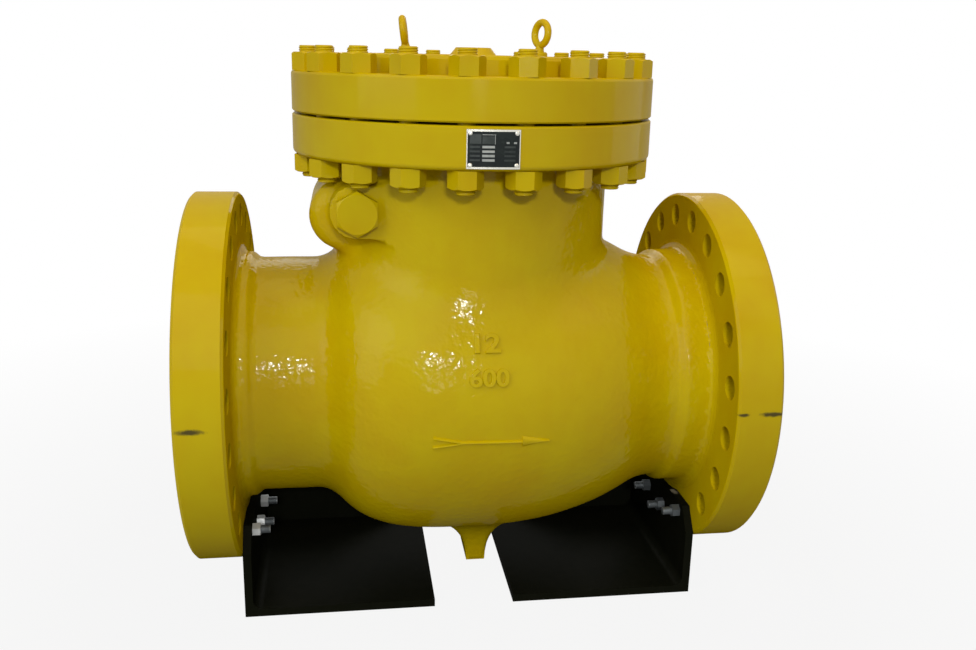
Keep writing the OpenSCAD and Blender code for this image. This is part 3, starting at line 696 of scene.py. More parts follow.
@dataclass(frozen=True)
class ThreadedBar:
    """A bar with a thread at both ends and a plain middle. Lengths are in millimetres."""

    radius: float
    pitch: float
    depth: float
    low_thread: float
    high_thread: float
    chamfer: float = 1.6
    around: int = 20
    rings_per_pitch: int = 6
    flank: float = 1.6
    crest: float = 0.3

    def rings(self, start: float, length: float) -> np.ndarray:
        """Heights of the rings along one thread."""
        return np.linspace(start, start + length, int(length / self.pitch * self.rings_per_pitch) + 2)

    def mesh(self, length: float) -> Mesh:
        """Grid of the bar about Z from 0 to its length.

        The radius at height z and turn a is the bar's radius less the thread's depth times a clipped triangle wave of
        z / pitch - a, and it falls off over the chamfer at both ends. A last ring at each end closes it.

        Args:
            length: Length of the bar.

        Returns:
            Its points and faces.
        """
        high = self.rings(length - self.high_thread, self.high_thread)
        z = np.concatenate([self.rings(0.0, self.low_thread), high])
        height, turn = np.meshgrid(z, np.arange(self.around) / self.around, indexing="ij")
        wave = np.abs(((height / self.pitch - turn) % 1.0) * 2.0 - 1.0)
        radius = self.radius - self.depth * np.clip(wave * self.flank - self.crest, 0.0, 1.0)
        from_end = np.minimum(height, length - height)
        radius = np.minimum(radius, self.radius - self.chamfer + from_end)
        ring = np.stack([radius * np.cos(2 * np.pi * turn), radius * np.sin(2 * np.pi * turn), height], axis=2)
        bottom, top = (np.repeat([[[0.0, 0.0, at]]], self.around, axis=1) for at in (0.0, length))
        grid = np.concatenate([bottom, ring, top])
        return grid.reshape(-1, 3), grid_faces(len(grid), self.around)


@dataclass(frozen=True)
class CoverStuds:
    """The cover's twenty studs with threaded ends."""

    bar: ThreadedBar = ThreadedBar(radius=12.7, pitch=3.2, depth=1.0, low_thread=14.0, high_thread=16.0)
    circle_r: float = 242.0
    count: int = 20

    def build(self) -> bpy.types.Object:
        """Places one bar per stud on the bolt circle, from the solids' lowest to their highest point.

        Returns:
            The studs, as one piece.
        """
        low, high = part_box("cover_studs")
        points, faces = self.bar.mesh((high.z - low.z) / MM)
        angle = (np.arange(self.count) + 0.5) * 2.0 * np.pi / self.count
        places = np.stack([
            BONNET_X + self.circle_r * np.cos(angle),
            self.circle_r * np.sin(angle),
            np.full(self.count, low.z / MM),
        ], axis=1)
        points, faces = joined([(points + place, faces) for place in places])
        return mesh_piece("cover_stud_threads", points * MM, faces)


@dataclass(frozen=True)
class StandBoltThreads:
    """Threads on the ends of the stand bolts, which stand out past their nuts."""

    side: Side
    bar: ThreadedBar = ThreadedBar(radius=6.36, pitch=1.75, depth=0.3, low_thread=14.0, high_thread=1.0, chamfer=0.6)
    length: float = 15.5
    tip_x: float = 307.5
    circle_r: float = 244.5
    rise: float = 5.0
    angles: tuple[float, ...] = (-27.0, -9.0, 9.0, 27.0)

    def build(self) -> bpy.types.Object:
        """Lays one bar along X at each bolt, from its tip to inside its nut.

        Returns:
            The four ends, as one piece.
        """
        points, faces = self.bar.mesh(self.length)
        s = self.side.value
        lying = np.stack([s * points[:, 2], s * points[:, 1], -points[:, 0]], axis=1)
        angle = np.radians(self.angles)
        places = np.stack([
            np.full(len(angle), s * self.tip_x),
            self.circle_r * np.sin(angle),
            AXIS_H - self.circle_r * np.cos(angle) + self.rise,
        ], axis=1)
        points, faces = joined([(lying + place, faces) for place in places])
        return mesh_piece(f"{self.side.name.lower()}_stand_bolt_threads", points * MM, faces)


# ---------------------------------------------------------------- nameplate


@dataclass(frozen=True)
class PlateFace:
    """The face of the nameplate: a bright rim, a header block and rows of blank bars, on the curve of the flange.

    Lengths are in millimetres and angles in degrees. A place on the plate is given as shares of its width and height,
    from its upper left corner, as left, right, top and bottom. A column is its left and right side, with a bar in each
    row.
    """

    radius: float = 266.0
    centre_z: float = 370.3
    turn: float = -1.4
    sweep: float = 14.7
    height: float = 49.0
    steps: int = 13
    sunk: float = 0.4
    rim_w: float = 0.018
    rim_h: float = 0.052
    rim_lift: float = 0.3
    bright_lift: float = 0.2
    dim_lift: float = 0.12
    row_places: tuple[float, ...] = (0.44, 0.555, 0.665, 0.775)
    bright_half: float = 0.030
    bright_column: Pair = (0.29, 0.52)
    outline: tuple[Sides, ...] = ((0.29, 0.54, 0.125, 0.14), (0.52, 0.53, 0.14, 0.37))
    short_bars: tuple[Sides, ...] = ((0.735, 0.79, 0.31, 0.355), (0.875, 0.93, 0.31, 0.355))
    dim_half: float = 0.024
    dim_columns: tuple[Pair, ...] = ((0.06, 0.25), (0.70, 0.91))
    header: tuple[Sides, ...] = ((0.06, 0.27, 0.12, 0.36), (0.29, 0.51, 0.17, 0.36))

    def strip(self, left: float, right: float, top: float, bottom: float, lift: float) -> Mesh:
        """A thin bent strip: the angle runs evenly from left to right, with four corners of its section at each.

        Args:
            left: Left side, as a share of the plate's width.
            right: Right side.
            top: Upper side, as a share of the plate's height.
            bottom: Lower side.
            lift: Height over the plate, in millimetres.

        Returns:
            Its points in millimetres and its faces.
        """
        share = np.linspace(left, right, self.steps)
        angle = np.radians(self.turn + (share - 0.5) * self.sweep)[:, None]
        radius = self.radius + np.array([lift, lift, -self.sunk, -self.sunk])
        z = AXIS_H + self.centre_z + self.height * (0.5 - np.array([top, bottom, bottom, top]))
        grid = np.stack([
            BONNET_X + radius * np.sin(angle),
            -radius * np.cos(angle),
            np.broadcast_to(z, (self.steps, 4)),
        ], axis=2)
        last = 4 * (self.steps - 1)
        caps = np.array([[0, 1, 2, 3], [last + 3, last + 2, last + 1, last]])
        return grid.reshape(-1, 3), np.concatenate([grid_faces(self.steps, 4)[:, ::-1], caps])

    def piece(self, name: str, strips: list[Sides], lift: float) -> bpy.types.Object:
        """One piece made of several strips at the same height."""
        points, faces = joined([self.strip(*sides, lift) for sides in strips])
        return mesh_piece(name, points * MM, faces, smooth=False)

    def rows(self, column: Pair, half: float) -> list[Sides]:
        """A column of bars, one in each row of the plate."""
        return [(*column, y - half, y + half) for y in self.row_places]

    def rim(self) -> bpy.types.Object:
        """The bright rim of the plate.

        Returns:
            The rim.
        """
        w, h = self.rim_w, self.rim_h
        sides = [(0.0, 1.0, 0.0, h), (0.0, 1.0, 1.0 - h, 1.0), (0.0, w, h, 1.0 - h), (1.0 - w, 1.0, h, 1.0 - h)]
        return self.piece("nameplate_rim", sides, self.rim_lift)

    def bright_bars(self) -> bpy.types.Object:
        """The bright bars: a column left of the middle, the header's outline and two short bars on the right.

        Returns:
            The bars, as one piece.
        """
        bars = [*self.rows(self.bright_column, self.bright_half), *self.outline, *self.short_bars]
        return self.piece("nameplate_bright_bars", bars, self.bright_lift)

    def dim_bars(self) -> bpy.types.Object:
        """The dim bars: the header block, a column at the left edge and one on the right.

        Returns:
            The bars, as one piece.
        """
        bars = list(self.header)
        for column in self.dim_columns:
            bars += self.rows(column, self.dim_half)
        return self.piece("nameplate_dim_bars", bars, self.dim_lift)


# ---------------------------------------------------------------- finishes


class Board:
    """Lays out the nodes of one material, world or node group."""

    def __init__(self, tree: bpy.types.NodeTree) -> None:
        """Keeps the tree that the nodes go in."""
        self.tree = tree

    @classmethod
    def cleared(cls, owner: bpy.types.Material | bpy.types.World) -> "Board":
        """The board of a new material or world, with nothing on it.

        Args:
            owner: The material or world.

        Returns:
            Its board.
        """
        owner.use_nodes = True
        owner.node_tree.nodes.clear()
        return cls(owner.node_tree)

    def add(self, kind: str, inputs: dict | None = None, **settings) -> bpy.types.Node:
        """Adds a node.

        Args:
            kind: Blender's name for the node.
            inputs: Socket name or number to a value, or to the output socket that feeds it. Colours have no alpha.
            settings: The node's own settings.

        Returns:
            The node.
        """
        node = self.tree.nodes.new(kind)
        for key, value in settings.items():
            setattr(node, key, value)
        for key, value in (inputs or {}).items():
            socket = node.inputs[key]
            if isinstance(value, Socket):
                self.tree.links.new(value, socket)
            else:
                socket.default_value = (*value, 1.0) if socket.type == "RGBA" else value
        return node

    def place(self) -> Socket:
        """The object's own coordinates, in metres."""
        return self.add("ShaderNodeTexCoord").outputs["Object"]

    def xyz(self, vector: Socket) -> bpy.types.bpy_prop_collection:
        """The three parts of a vector."""
        return self.add("ShaderNodeSeparateXYZ", {0: vector}).outputs

    def math(self, operation: str, a: float | Socket, b: float | Socket = 0.0) -> Socket:
        """Output of a Math node."""
        return self.add("ShaderNodeMath", {0: a, 1: b}, operation=operation).outputs[0]

    def vector(self, operation: str, *values: tuple | Socket) -> bpy.types.bpy_prop_collection:
        """Outputs of a Vector Math node."""
        return self.add("ShaderNodeVectorMath", dict(enumerate(values)), operation=operation).outputs

    def noise(self, vector: Socket, scale: float | Socket, detail: float = 3.0, roughness: float = 0.55) -> Socket:
        """Value of a Noise texture."""
        inputs = {"Vector": vector, "Scale": scale, "Detail": detail, "Roughness": roughness}
        return self.add("ShaderNodeTexNoise", inputs).outputs["Fac"]

    def mix(self, factor: Socket, a: Colour | Socket, b: Colour | Socket) -> Socket:
        """Colour output of a Mix node."""
        return self.add("ShaderNodeMix", {0: factor, 6: a, 7: b}, data_type="RGBA").outputs[2]

    def span(self, value: Socket, low: float, high: float, to_low: float = 0.0, to_high: float = 1.0) -> Socket:
        """Output of a Map Range node that clamps."""
        inputs = {"Value": value, "From Min": low, "From Max": high, "To Min": to_low, "To Max": to_high}
        return self.add("ShaderNodeMapRange", inputs).outputs["Result"]

    def close(self, label: str, value: Socket) -> bpy.types.NodeTree:
        """Gives a node group its one output, a float, and returns the group.

        Args:
            label: Name of the output.
            value: What feeds it.

        Returns:
            The group.
        """
        self.tree.interface.new_socket(name=label, in_out="OUTPUT", socket_type="NodeSocketFloat")
        self.add("NodeGroupOutput", {label: value})
        return self.tree


def open_group(name: str, sockets: dict[str, str]) -> tuple[Board, bpy.types.bpy_prop_collection]:
    """Starts a shader node group with named inputs.

    Args:
        name: Name of the group.
        sockets: Name to kind of each input, where kind is Float or Vector.

    Returns:
        The group's board and what its inputs give.
    """
    tree = bpy.data.node_groups.new(name, "ShaderNodeTree")
    for label, kind in sockets.items():
        tree.interface.new_socket(name=label, in_out="INPUT", socket_type="NodeSocket" + kind)
    board = Board(tree)
    return board, board.add("NodeGroupInput").outputs


# Waves of the streaks in a metre along x, y and z, and where the tone starts and ends in the noise
STREAK_SCALES = (60.0, 60.0, 9.0)
TONE_ENDS = (0.34, 0.66)
# Scale and depth of a mark's ragged edge, and where it fades, in half sizes from its centre. The marks are dark
# streaks, painted shade and painted highlights.
RAGGED_SCALE = 90.0
RAGGED_DEPTH = 1.4
MARK_FADE = (1.15, 1.75)


def make_relief_group() -> bpy.types.NodeTree:
    """Height of a coated surface: slow waves plus the fine dimples of sprayed paint.

    Returns:
        The group.
    """
    kinds = {"Vector": "Vector"} | dict.fromkeys(("Wave Scale", "Wave Height", "Peel Scale", "Peel Height"), "Float")
    board, given = open_group("coat_relief", kinds)
    wave = board.noise(given["Vector"], given["Wave Scale"], 2.0, 0.5)
    peel = board.noise(given["Vector"], given["Peel Scale"], 1.0, 0.5)
    high_wave = board.math("MULTIPLY", wave, given["Wave Height"])
    return board.close("Height", board.math("ADD", high_wave, board.math("MULTIPLY", peel, given["Peel Height"])))


def make_drift_group() -> bpy.types.NodeTree:
    """Slow change of tone from 0 to 1: a broad noise plus a streaky one that is stretched upright.

    Returns:
        The group.
    """
    board, given = open_group("tone_drift", {"Vector": "Vector", "Scale": "Float", "Streaks": "Float"})
    broad = board.noise(given["Vector"], given["Scale"], 3.0, 0.6)
    upright = board.vector("MULTIPLY", given["Vector"], STREAK_SCALES)[0]
    about_nought = board.math("SUBTRACT", board.noise(upright, 1.0, 2.0), 0.5)
    total = board.math("ADD", broad, board.math("MULTIPLY", about_nought, given["Streaks"]))
    return board.close("Tone", board.span(total, *TONE_ENDS))


def make_streak_and_painted_light_group() -> bpy.types.NodeTree:
    """Mask of one mark, used for dark streaks, painted shade and painted highlights: a stretched spot about a centre,
    broken by noise.

    Returns:
        The group.
    """
    board, given = open_group("streak_and_painted_light_mark", dict.fromkeys(("Vector", "Centre", "Stretch"), "Vector"))
    away = board.vector("SUBTRACT", given["Vector"], given["Centre"])[0]
    length = board.vector("LENGTH", board.vector("MULTIPLY", away, given["Stretch"])[0])["Value"]
    ragged = board.math("MULTIPLY", board.noise(given["Vector"], RAGGED_SCALE, 4.0, 0.7), RAGGED_DEPTH)
    return board.close("Mask", board.span(board.math("ADD", length, ragged), *MARK_FADE, 1.0, 0.0))


@dataclass(frozen=True)
class Finish:
    """A surface finish: its two tones, gloss and relief.

    Colours are linear. Scales count waves in a metre, heights are in millimetres, and dull_below gives the two heights
    over the floor, in metres, between which the gloss fades in.
    """

    name: str
    colour: Colour
    shade: Colour
    roughness: float
    metallic: float = 0.0
    specular: float = 0.5
    coat: float = 0.0
    coat_roughness: float = 0.1
    dull_below: Pair | None = None
    drift_scale: float = 7.0
    streaks: float = 0.3
    wave_scale: float = 20.0
    wave_height: float = 0.0
    peel_scale: float = 220.0
    peel_height: float = 0.05
    smoother: float = 0.85
    rougher: float = 1.2

    def make(self, groups: Groups) -> bpy.types.Material:
        """Builds the finish's material.

        Args:
            groups: The shared node groups by name.

        Returns:
            The material.
        """
        material = bpy.data.materials.new(self.name)
        board = Board.cleared(material)
        place = board.place()
        drift = {"Vector": place, "Scale": self.drift_scale, "Streaks": self.streaks}
        tone = board.add("ShaderNodeGroup", drift, node_tree=groups["drift"]).outputs["Tone"]
        wave_height, peel_height = self.heights(board, place)
        relief = board.add("ShaderNodeGroup", {
            "Vector": place,
            "Wave Scale": self.wave_scale,
            "Wave Height": wave_height,
            "Peel Scale": self.peel_scale,
            "Peel Height": peel_height,
        }, node_tree=groups["relief"]).outputs["Height"]
        normal = board.add("ShaderNodeBump", {"Height": relief, "Strength": 1.0, "Distance": MM}).outputs["Normal"]
        low, high = self.roughness * self.smoother, self.roughness * self.rougher
        shader = board.add("ShaderNodeBsdfPrincipled", {
            "Base Color": self.tinted(board, place, tone, groups),
            "Roughness": board.span(tone, 0.0, 1.0, low, high),
            "Normal": normal,
            "Metallic": self.metallic,
            "Specular IOR Level": self.specular,
            "Coat Weight": self.gloss(board, place),
            "Coat Roughness": self.coat_roughness,
        })
        if self.coat:
            board.tree.links.new(normal, shader.inputs["Coat Normal"])
        board.add("ShaderNodeOutputMaterial", {"Surface": shader.outputs["BSDF"]})
        return material

    def heights(self, board: Board, place: Socket) -> tuple[float | Socket, float | Socket]:
        """Heights of the slow waves and of the fine dimples, in millimetres."""
        return self.wave_height, self.peel_height

    def gloss(self, board: Board, place: Socket) -> float | Socket:
        """Weight of the clear gloss over the colour, which may fade out on the underside.

        Args:
            board: The material's board.
            place: The object's own coordinates.

        Returns:
            The weight, or the socket that gives it.
        """
        if self.dull_below is None:
            return self.coat
        return board.span(board.xyz(place)[2], *self.dull_below, 0.0, self.coat)

    def tinted(self, board: Board, place: Socket, tone: Socket, groups: Groups) -> Socket:
        """The finish's colour, drifting between its two tones."""
        return board.mix(tone, self.colour, self.shade)


@dataclass(frozen=True)
class MarkedPaint(Finish):
    """Paint with marks at given places, each a centre and half a size in metres. The marks are dark streaks, painted
    shade and painted highlights in the mark colour.
    """

    marks: tuple[tuple[Place, Place], ...] = ()
    mark_colour: Colour = (0.035, 0.03, 0.015)
    mark_strength: float = 0.9

    def tinted(self, board: Board, place: Socket, tone: Socket, groups: Groups) -> Socket:
        """The paint's colour under its marks: dark streaks, painted shade and painted highlights.

        Args:
            board: The material's board.
            place: The object's own coordinates.
            tone: The drift of tone, from 0 to 1.
            groups: The shared node groups by name.

        Returns:
            The colour.
        """
        colour = super().tinted(board, place, tone, groups)
        for centre, half in self.marks:
            spot = {"Vector": place, "Centre": centre, "Stretch": tuple(1.0 / h for h in half)}
            mask = board.add("ShaderNodeGroup", spot, node_tree=groups["smear"]).outputs["Mask"]
            colour = board.mix(board.math("MULTIPLY", mask, self.mark_strength), colour, self.mark_colour)
        return colour


@dataclass(frozen=True)
class BodyPaint(MarkedPaint):
    """Paint of the whole body: smooth on its machined flanges, rough between and below them, and none inside.

    Lengths that tell one part of the body from another are in metres.
    """

    cast_wave: float = 0.5
    cast_peel: float = 0.85
    flange_back_x: float = 0.3455
    back_reach: float = 0.001
    bore_r: float = 0.1515
    hollow_r: float = 0.225
    hollow_x: float = 0.339
    raised_r: float = 0.1910
    raised_x: float = 0.4185
    bare_colour: Colour = (0.17, 0.16, 0.15)
    bonnet_under_z: float = 0.678

    def heights(self, board: Board, place: Socket) -> tuple[Socket, Socket]:
        """The casting's heights between the pipe flanges and below the bonnet flange, and the flanges' elsewhere.

        Args:
            board: The material's board.
            place: The object's own coordinates.

        Returns:
            The two sockets that give the heights.
        """
        x, _, z = board.xyz(place)
        between = board.math("LESS_THAN", board.math("ABSOLUTE", x), self.flange_back_x)
        cast = board.math("MULTIPLY", between, board.math("LESS_THAN", z, self.bonnet_under_z))
        wave = board.span(cast, 0.0, 1.0, self.wave_height, self.cast_wave)
        return wave, board.span(cast, 0.0, 1.0, self.peel_height, self.cast_peel)

    def bare(self, board: Board, place: Socket) -> Socket:
        """One on bare steel: the bore, the hollow and the raised faces.

        They are told by r, the root of y squared plus the squared height over the pipe axis, and by |x|.

        Args:
            board: The material's board.
            place: The object's own coordinates.

        Returns:
            One or nought.
        """
        x, y, z = board.xyz(place)
        up = board.math("SUBTRACT", z, AXIS_H * MM)
        r = board.math("SQRT", board.math("ADD", board.math("MULTIPLY", y, y), board.math("MULTIPLY", up, up)))
        away = board.math("ABSOLUTE", x)
        within = board.math("LESS_THAN", away, self.hollow_x)
        hollow = board.math("MULTIPLY", board.math("LESS_THAN", r, self.hollow_r), within)
        past = board.math("GREATER_THAN", away, self.raised_x)
        face = board.math("MULTIPLY", board.math("LESS_THAN", r, self.raised_r), past)
        bore = board.math("LESS_THAN", r, self.bore_r)
        return board.math("MAXIMUM", bore, board.math("MAXIMUM", hollow, face))

    def tinted(self, board: Board, place: Socket, tone: Socket, groups: Groups) -> Socket:
        """The paint, and bare steel where there is none."""
        return board.mix(self.bare(board, place), super().tinted(board, place, tone, groups), self.bare_colour)

    def gloss(self, board: Board, place: Socket) -> Socket:
        """The gloss everywhere but on the machined backs of the pipe flanges, which are thinly painted.

        Args:
            board: The material's board.
            place: The object's own coordinates.

        Returns:
            The socket that gives the weight.
        """
        away = board.math("ABSOLUTE", board.xyz(place)[0])
        from_back = board.math("ABSOLUTE", board.math("SUBTRACT", away, self.flange_back_x))
        off_back = board.math("GREATER_THAN", from_back, self.back_reach)
        return board.math("MULTIPLY", off_back, super().gloss(board, place))


ENAMEL = {
    "colour": (0.53, 0.405, 0.0015), "shade": (0.50, 0.345, 0.001), "roughness": 0.5,
    "specular": 0.0, "coat": 0.19, "dull_below": (0.10, 0.33), "streaks": 0.12,
}


class Paint(Enum):
    """The finishes of the valve."""

    CASTING = Finish(
        "cast_yellow_enamel", **ENAMEL, coat_roughness=0.08,
        wave_scale=26.0, wave_height=0.5, peel_scale=110.0, peel_height=0.85,
    )
    BODY = BodyPaint(
        "body_yellow_enamel", **ENAMEL, coat_roughness=0.08,
        wave_scale=26.0, wave_height=0.15, peel_scale=110.0, peel_height=0.12,
        marks=(
            # The first three marks are dark streaks across the fronts of the pipe flanges' rims, all at one height.
            ((-0.389, -0.279, 0.347), (0.022, 0.03, 0.0045)),
            ((0.398, -0.279, 0.347), (0.022, 0.03, 0.004)),
            ((0.355, -0.279, 0.347), (0.009, 0.03, 0.003)),
            # Painted shade: a dark spot at the right flange's bolt hole 27 degrees above the axis, where the hole is
            # dark inside.
            ((0.352, -0.226, 0.446), (0.02, 0.012, 0.016)),
        ),
    )
    COVER = Finish(
        "cover_yellow_enamel", **ENAMEL, coat_roughness=0.12,
        wave_scale=14.0, wave_height=0.25, peel_scale=260.0, peel_height=0.05,
    )
    FASTENER = Finish(
        "fastener_yellow_enamel", **ENAMEL, coat_roughness=0.15,
        wave_scale=60.0, wave_height=0.3, peel_scale=300.0, peel_height=0.08,
    )
    BLACK = MarkedPaint(
        "black_plate_paint", (0.0052, 0.0058, 0.003), (0.0066, 0.007, 0.004), 0.5,
        specular=0.0, coat=0.03, coat_roughness=0.4, streaks=0.9,
        wave_scale=18.0, wave_height=0.3, peel_scale=300.0, peel_height=0.08,
        # Painted highlights: pale strips on the edges of the two uprights, the left one along its top edge, where the
        # light catches them.
        marks=(
            ((-0.330, -0.060, 0.160), (0.005, 0.030, 0.004)),
            ((0.338, -0.07, 0.139), (0.007, 0.016, 0.002)),
        ),
        mark_colour=(0.32, 0.29, 0.22),
    )
    ZINC = Finish(
        "zinc_plating", (0.62, 0.63, 0.62), (0.48, 0.50, 0.48), 0.5,
        metallic=0.55, drift_scale=60.0, peel_scale=500.0, peel_height=0.04,
    )
    # A darker copy of the zinc plating: painted shade for the right stand's nuts and the stand bolts' thread ends,
    # which sit in shade.
    ZINC_PAINTED_SHADE = Finish(
        "zinc_plating_painted_shade", (0.11, 0.125, 0.13), (0.08, 0.09, 0.095), 0.5,
        metallic=0.55, drift_scale=60.0, peel_scale=500.0, peel_height=0.04,
    )
    STAINLESS = Finish(
        "ground_steel", (0.50, 0.49, 0.47), (0.42, 0.41, 0.40), 0.28,
        metallic=1.0, streaks=0.8, peel_scale=700.0, peel_height=0.02,
    )
    CAST_STEEL = Finish(
        "plain_cast_steel", (0.13, 0.12, 0.11), (0.09, 0.08, 0.075), 0.62,
        metallic=0.6, drift_scale=25.0, wave_scale=40.0, wave_height=0.6, peel_scale=260.0, peel_height=0.2,
    )
    BRONZE = Finish(
        "turned_bronze", (0.50, 0.30, 0.10), (0.42, 0.24, 0.08), 0.30,
        metallic=1.0, drift_scale=30.0, peel_scale=700.0, peel_height=0.02,
    )
    GRAPHITE = Finish(
        "graphite_gasket", (0.035, 0.035, 0.035), (0.02, 0.02, 0.02), 0.55,
        metallic=0.3, drift_scale=40.0, peel_scale=900.0, peel_height=0.06,
    )
    PLATE = Finish(
        "dark_plate", (0.010, 0.013, 0.014), (0.016, 0.022, 0.020), 0.25,
        specular=0.12, drift_scale=30.0, peel_scale=600.0, peel_height=0.02,
    )
    FADED = Finish(
        "faded_plate_print", (0.055, 0.065, 0.062), (0.025, 0.032, 0.030), 0.35,
        specular=0.15, drift_scale=70.0, peel_scale=600.0, peel_height=0.02,
    )
    SILVER_PRINT = Finish(
        "silver_plate_print", (0.30, 0.33, 0.32), (0.40, 0.42, 0.40), 0.4,
        specular=0.2, drift_scale=110.0, peel_scale=600.0, peel_height=0.02,
    )
    BRIGHT = Finish(
        "bright_aluminium", (0.62, 0.61, 0.54), (0.52, 0.51, 0.44), 0.25,
        metallic=1.0, drift_scale=60.0, peel_scale=700.0, peel_height=0.02,
    )


NODES_OF = {
    Paint.BODY: ("body",),
    Paint.COVER: ("cover",),
    Paint.FASTENER: (
        "cover_top_nuts", "cover_bottom_nuts", "cover_studs", "left_eyebolt", "right_eyebolt",
        "front_hinge_plug", "rear_hinge_plug",
    ),
    Paint.STAINLESS: ("seat_ring", "hinge_pin", "disc", "disc_washer", "disc_nut"),
    Paint.GRAPHITE: ("cover_gasket", "plug_washers"),
    Paint.CAST_STEEL: ("hinge_arm",),
    Paint.BRONZE: ("arm_bushes",),
    Paint.BRIGHT: ("split_pin", "nameplate_rivets"),
    Paint.PLATE: ("nameplate",),
    Paint.BLACK: ("left_stand", "right_stand"),
    Paint.ZINC: ("left_stand_bolts", "right_stand_bolts", "left_stand_nuts", "stand_washers"),
    # The right stand's nuts get the zinc's darker copy, which is painted shade.
    Paint.ZINC_PAINTED_SHADE: ("right_stand_nuts",),
}
FINISH_OF = {name: paint for paint, names in NODES_OF.items() for name in names}


class Paintbox:
    """Makes each finish's material once and puts it on pieces."""

    def __init__(self) -> None:
        """Builds the shared node groups."""
        self.groups = {"relief": make_relief_group(), "drift": make_drift_group(), "smear": make_streak_and_painted_light_group()}
        self.materials: dict[Paint, bpy.types.Material] = {}

    def get(self, paint: Paint) -> bpy.types.Material:
        """The material of a finish.

        Args:
            paint: The finish.

        Returns:
            Its material.
        """
        if paint not in self.materials:
            self.materials[paint] = paint.value.make(self.groups)
        return self.materials[paint]

    def coat(self, piece: bpy.types.Object, paint: Paint) -> None:
        """Puts a finish on every slot of a piece.

        Args:
            piece: The piece.
            paint: Its finish.
        """
        if not piece.material_slots:
            piece.data.materials.append(self.get(paint))
            return
        for slot in piece.material_slots:
            slot.material = self.get(paint)

    def dress(self, piece: bpy.types.Object, paint: Paint) -> bpy.types.Object:
        """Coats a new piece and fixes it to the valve.

        Args:
            piece: The new piece.
            paint: Its finish.

        Returns:
            The piece.
        """
        self.coat(piece, paint)
        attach(piece, VALVE)
        log.info("%s: %d faces", piece.name, len(piece.data.polygons))
        return piece


# ---------------------------------------------------------------- studio


@dataclass(frozen=True)
class Lamp:
    """A rectangular lamp: its place and size in metres and its power in watts."""

    name: str
    place: Place
    size: Pair
    power: float
    colour: Colour = (1.0, 1.0, 1.0)

    def hang(self, aim: Vector) -> None:
        """Hangs the lamp so that it faces a point.

        Args:
            aim: The point, in metres.
        """
        data = bpy.data.lights.new(self.name, "AREA")
        data.shape = "RECTANGLE"
        data.size, data.size_y = self.size
        data.energy = self.power
        data.color = self.colour
        lamp = bpy.data.objects.new(self.name, data)
        lamp.rotation_euler = (aim - Vector(self.place)).to_track_quat("-Z", "Y").to_euler()
        lamp.location = self.place
        bpy.context.scene.collection.objects.link(lamp)


WARM = (1.0, 0.72, 0.38)
LAMPS = (
    Lamp("key", (-0.22, -3.70, 1.90), (0.32, 0.16), 32.0),
    Lamp("key_glow", (-0.24, -3.76, 1.84), (0.8, 0.45), 17.0),
    Lamp("low_glow", (-0.20, -3.70, 0.95), (0.5, 0.5), 4.5),
    Lamp("front", (0.9, -3.0, 1.2), (2.4, 1.6), 3.0),
    Lamp("upper_left", (-1.6, -2.6, 3.0), (4.0, 3.0), 42.0),
    Lamp("overhead", (0.3, 0.1, 2.9), (2.6, 1.8), 32.0, WARM),
    Lamp("ceiling_right", (1.8, -1.3, 2.5), (1.6, 1.2), 7.0, WARM),
    Lamp("left", (-2.6, -1.6, 1.7), (2.4, 2.4), 31.0),
    Lamp("back", (0.4, 2.6, 1.8), (2.0, 1.2), 26.0),
    Lamp("outlet_end", (2.9, 0.7, 1.3), (2.0, 2.0), 14.0),
)


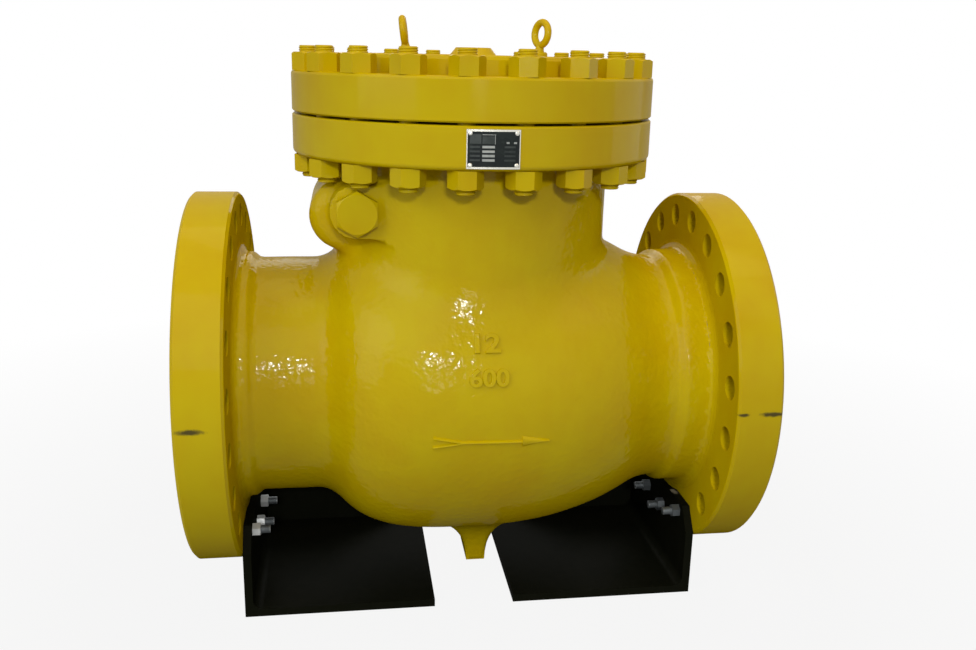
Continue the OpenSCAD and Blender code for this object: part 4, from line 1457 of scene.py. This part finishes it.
@dataclass(frozen=True)
class Studio:
    """Pale floor, soft lamps and the camera of the photograph. Lengths are in metres and turns in radians."""

    camera_place: Place = (-0.189237, -1.481098, 0.814292)
    yaw: float = -0.150
    pitch: float = -0.266
    roll: float = 0.023
    lens: float = 35.907
    sensor: float = 36.0
    clip: Pair = (0.05, 60.0)
    aim: Place = (0.0, 0.0, 0.4)
    floor_half: float = 9.0
    floor_tones: tuple[Colour, Colour] = ((0.13, 0.13, 0.13), (0.15, 0.15, 0.145))
    shadow_reach: Pair = (0.6, 1.8)
    shadow_white: float = 0.90
    grain_scale: float = 30.0
    floor_roughness: float = 0.8
    room_light: float = 0.08
    white: Colour = (1.0, 1.0, 1.0)

    def camera(self) -> None:
        """Sets the camera up from its place and its three turns."""
        level = math.cos(self.pitch)
        ahead = Vector((-math.sin(self.yaw) * level, math.cos(self.yaw) * level, math.sin(self.pitch)))
        right = Vector((math.cos(self.yaw), math.sin(self.yaw), 0.0))
        up = right.cross(ahead)
        right_rolled = right * math.cos(self.roll) + up * math.sin(self.roll)
        up_rolled = up * math.cos(self.roll) - right * math.sin(self.roll)
        data = bpy.data.cameras.new("camera")
        data.lens = self.lens
        data.sensor_width = self.sensor
        data.sensor_fit = "HORIZONTAL"
        data.clip_start, data.clip_end = self.clip
        camera = bpy.data.objects.new("camera", data)
        turn = Matrix((right_rolled, up_rolled, -ahead)).transposed()
        camera.matrix_world = Matrix.Translation(self.camera_place) @ turn.to_4x4()
        bpy.context.scene.collection.objects.link(camera)
        bpy.context.scene.camera = camera

    def seen(self, board: Board) -> Socket:
        """One where the camera, a reflection or glass looks, and nought for the light itself.

        Args:
            board: The board of the material or world.

        Returns:
            One or nought.
        """
        path = board.add("ShaderNodeLightPath").outputs
        mirrored = board.math("MAXIMUM", path["Is Glossy Ray"], path["Is Transmission Ray"])
        return board.math("MAXIMUM", path["Is Camera Ray"], mirrored)

    def floor(self) -> None:
        """Adds the floor, lifted towards white for the camera and in reflections, with the object's shadow kept."""
        corners = self.floor_half * np.array([[-1.0, -1.0, 0.0], [1.0, -1.0, 0.0], [1.0, 1.0, 0.0], [-1.0, 1.0, 0.0]])
        floor = mesh_piece("floor", corners, np.array([[0, 1, 2, 3]]))
        material = bpy.data.materials.new("pale_floor")
        board = Board.cleared(material)
        place = board.place()
        length = board.vector("LENGTH", place)["Value"]
        colour = board.mix(board.noise(place, self.grain_scale, 2.0), *self.floor_tones)
        matt = board.add("ShaderNodeBsdfPrincipled", {"Base Color": colour, "Roughness": self.floor_roughness})
        white = board.add("ShaderNodeEmission", {"Color": self.white, "Strength": 1.0})
        lifted = board.span(length, *self.shadow_reach, self.shadow_white, 1.0)
        share = board.math("MULTIPLY", self.seen(board), lifted)
        both = board.add("ShaderNodeMixShader", {0: share, 1: matt.outputs["BSDF"], 2: white.outputs["Emission"]})
        board.add("ShaderNodeOutputMaterial", {"Surface": both.outputs["Shader"]})
        floor.data.materials.append(material)

    def world(self) -> None:
        """Lights the room softly and shows it white to the camera."""
        world = bpy.data.worlds.new("room")
        board = Board.cleared(world)
        dim = board.add("ShaderNodeBackground", {"Color": self.white, "Strength": self.room_light})
        white = board.add("ShaderNodeBackground", {"Color": self.white, "Strength": 1.0})
        both = board.add("ShaderNodeMixShader", {0: self.seen(board), 1: dim.outputs[0], 2: white.outputs[0]})
        board.add("ShaderNodeOutputWorld", {"Surface": both.outputs["Shader"]})
        bpy.context.scene.world = world

    def build(self) -> None:
        """Sets up camera, floor, room and lamps."""
        self.camera()
        self.floor()
        self.world()
        for lamp in LAMPS:
            lamp.hang(Vector(self.aim))
        bpy.context.scene.view_settings.view_transform = "Standard"


# ---------------------------------------------------------------- the valve


def main() -> None:
    """Builds the valve's new pieces, coats everything and sets up the studio."""
    logging.basicConfig(level=logging.INFO, format="%(message)s")
    box = Paintbox()
    for name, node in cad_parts.items():
        box.coat(node, FINISH_OF[name])
    Studio().build()
    box.dress(CastSkin().build(), Paint.CASTING)
    studs = box.dress(CoverStuds().build(), Paint.FASTENER)
    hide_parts("cover_studs")
    for mark in (
        RaisedNumber("size_number", centre_x=0.5, centre_z=106.5, width=36.0, height=25.5, relief=4.4, text="12"),
        RaisedNumber("class_number", centre_x=1.9, centre_z=62.2, width=55.0, height=25.0, relief=4.4, text="600"),
        FlowArrow("flow_arrow", centre_x=6.5, centre_z=-28.8, width=162.4, height=17.5, relief=4.0),
    ):
        box.dress(mark.build(), Paint.CASTING)
    for side in Side:
        # The bolts' thread ends get the zinc's darker copy, which is painted shade.
        box.dress(StandBoltThreads(side).build(), Paint.ZINC_PAINTED_SHADE)
    plate = PlateFace()
    box.dress(plate.rim(), Paint.BRIGHT)
    box.dress(plate.bright_bars(), Paint.SILVER_PRINT)
    box.dress(plate.dim_bars(), Paint.FADED)


if __name__ == "__main__":
    main()
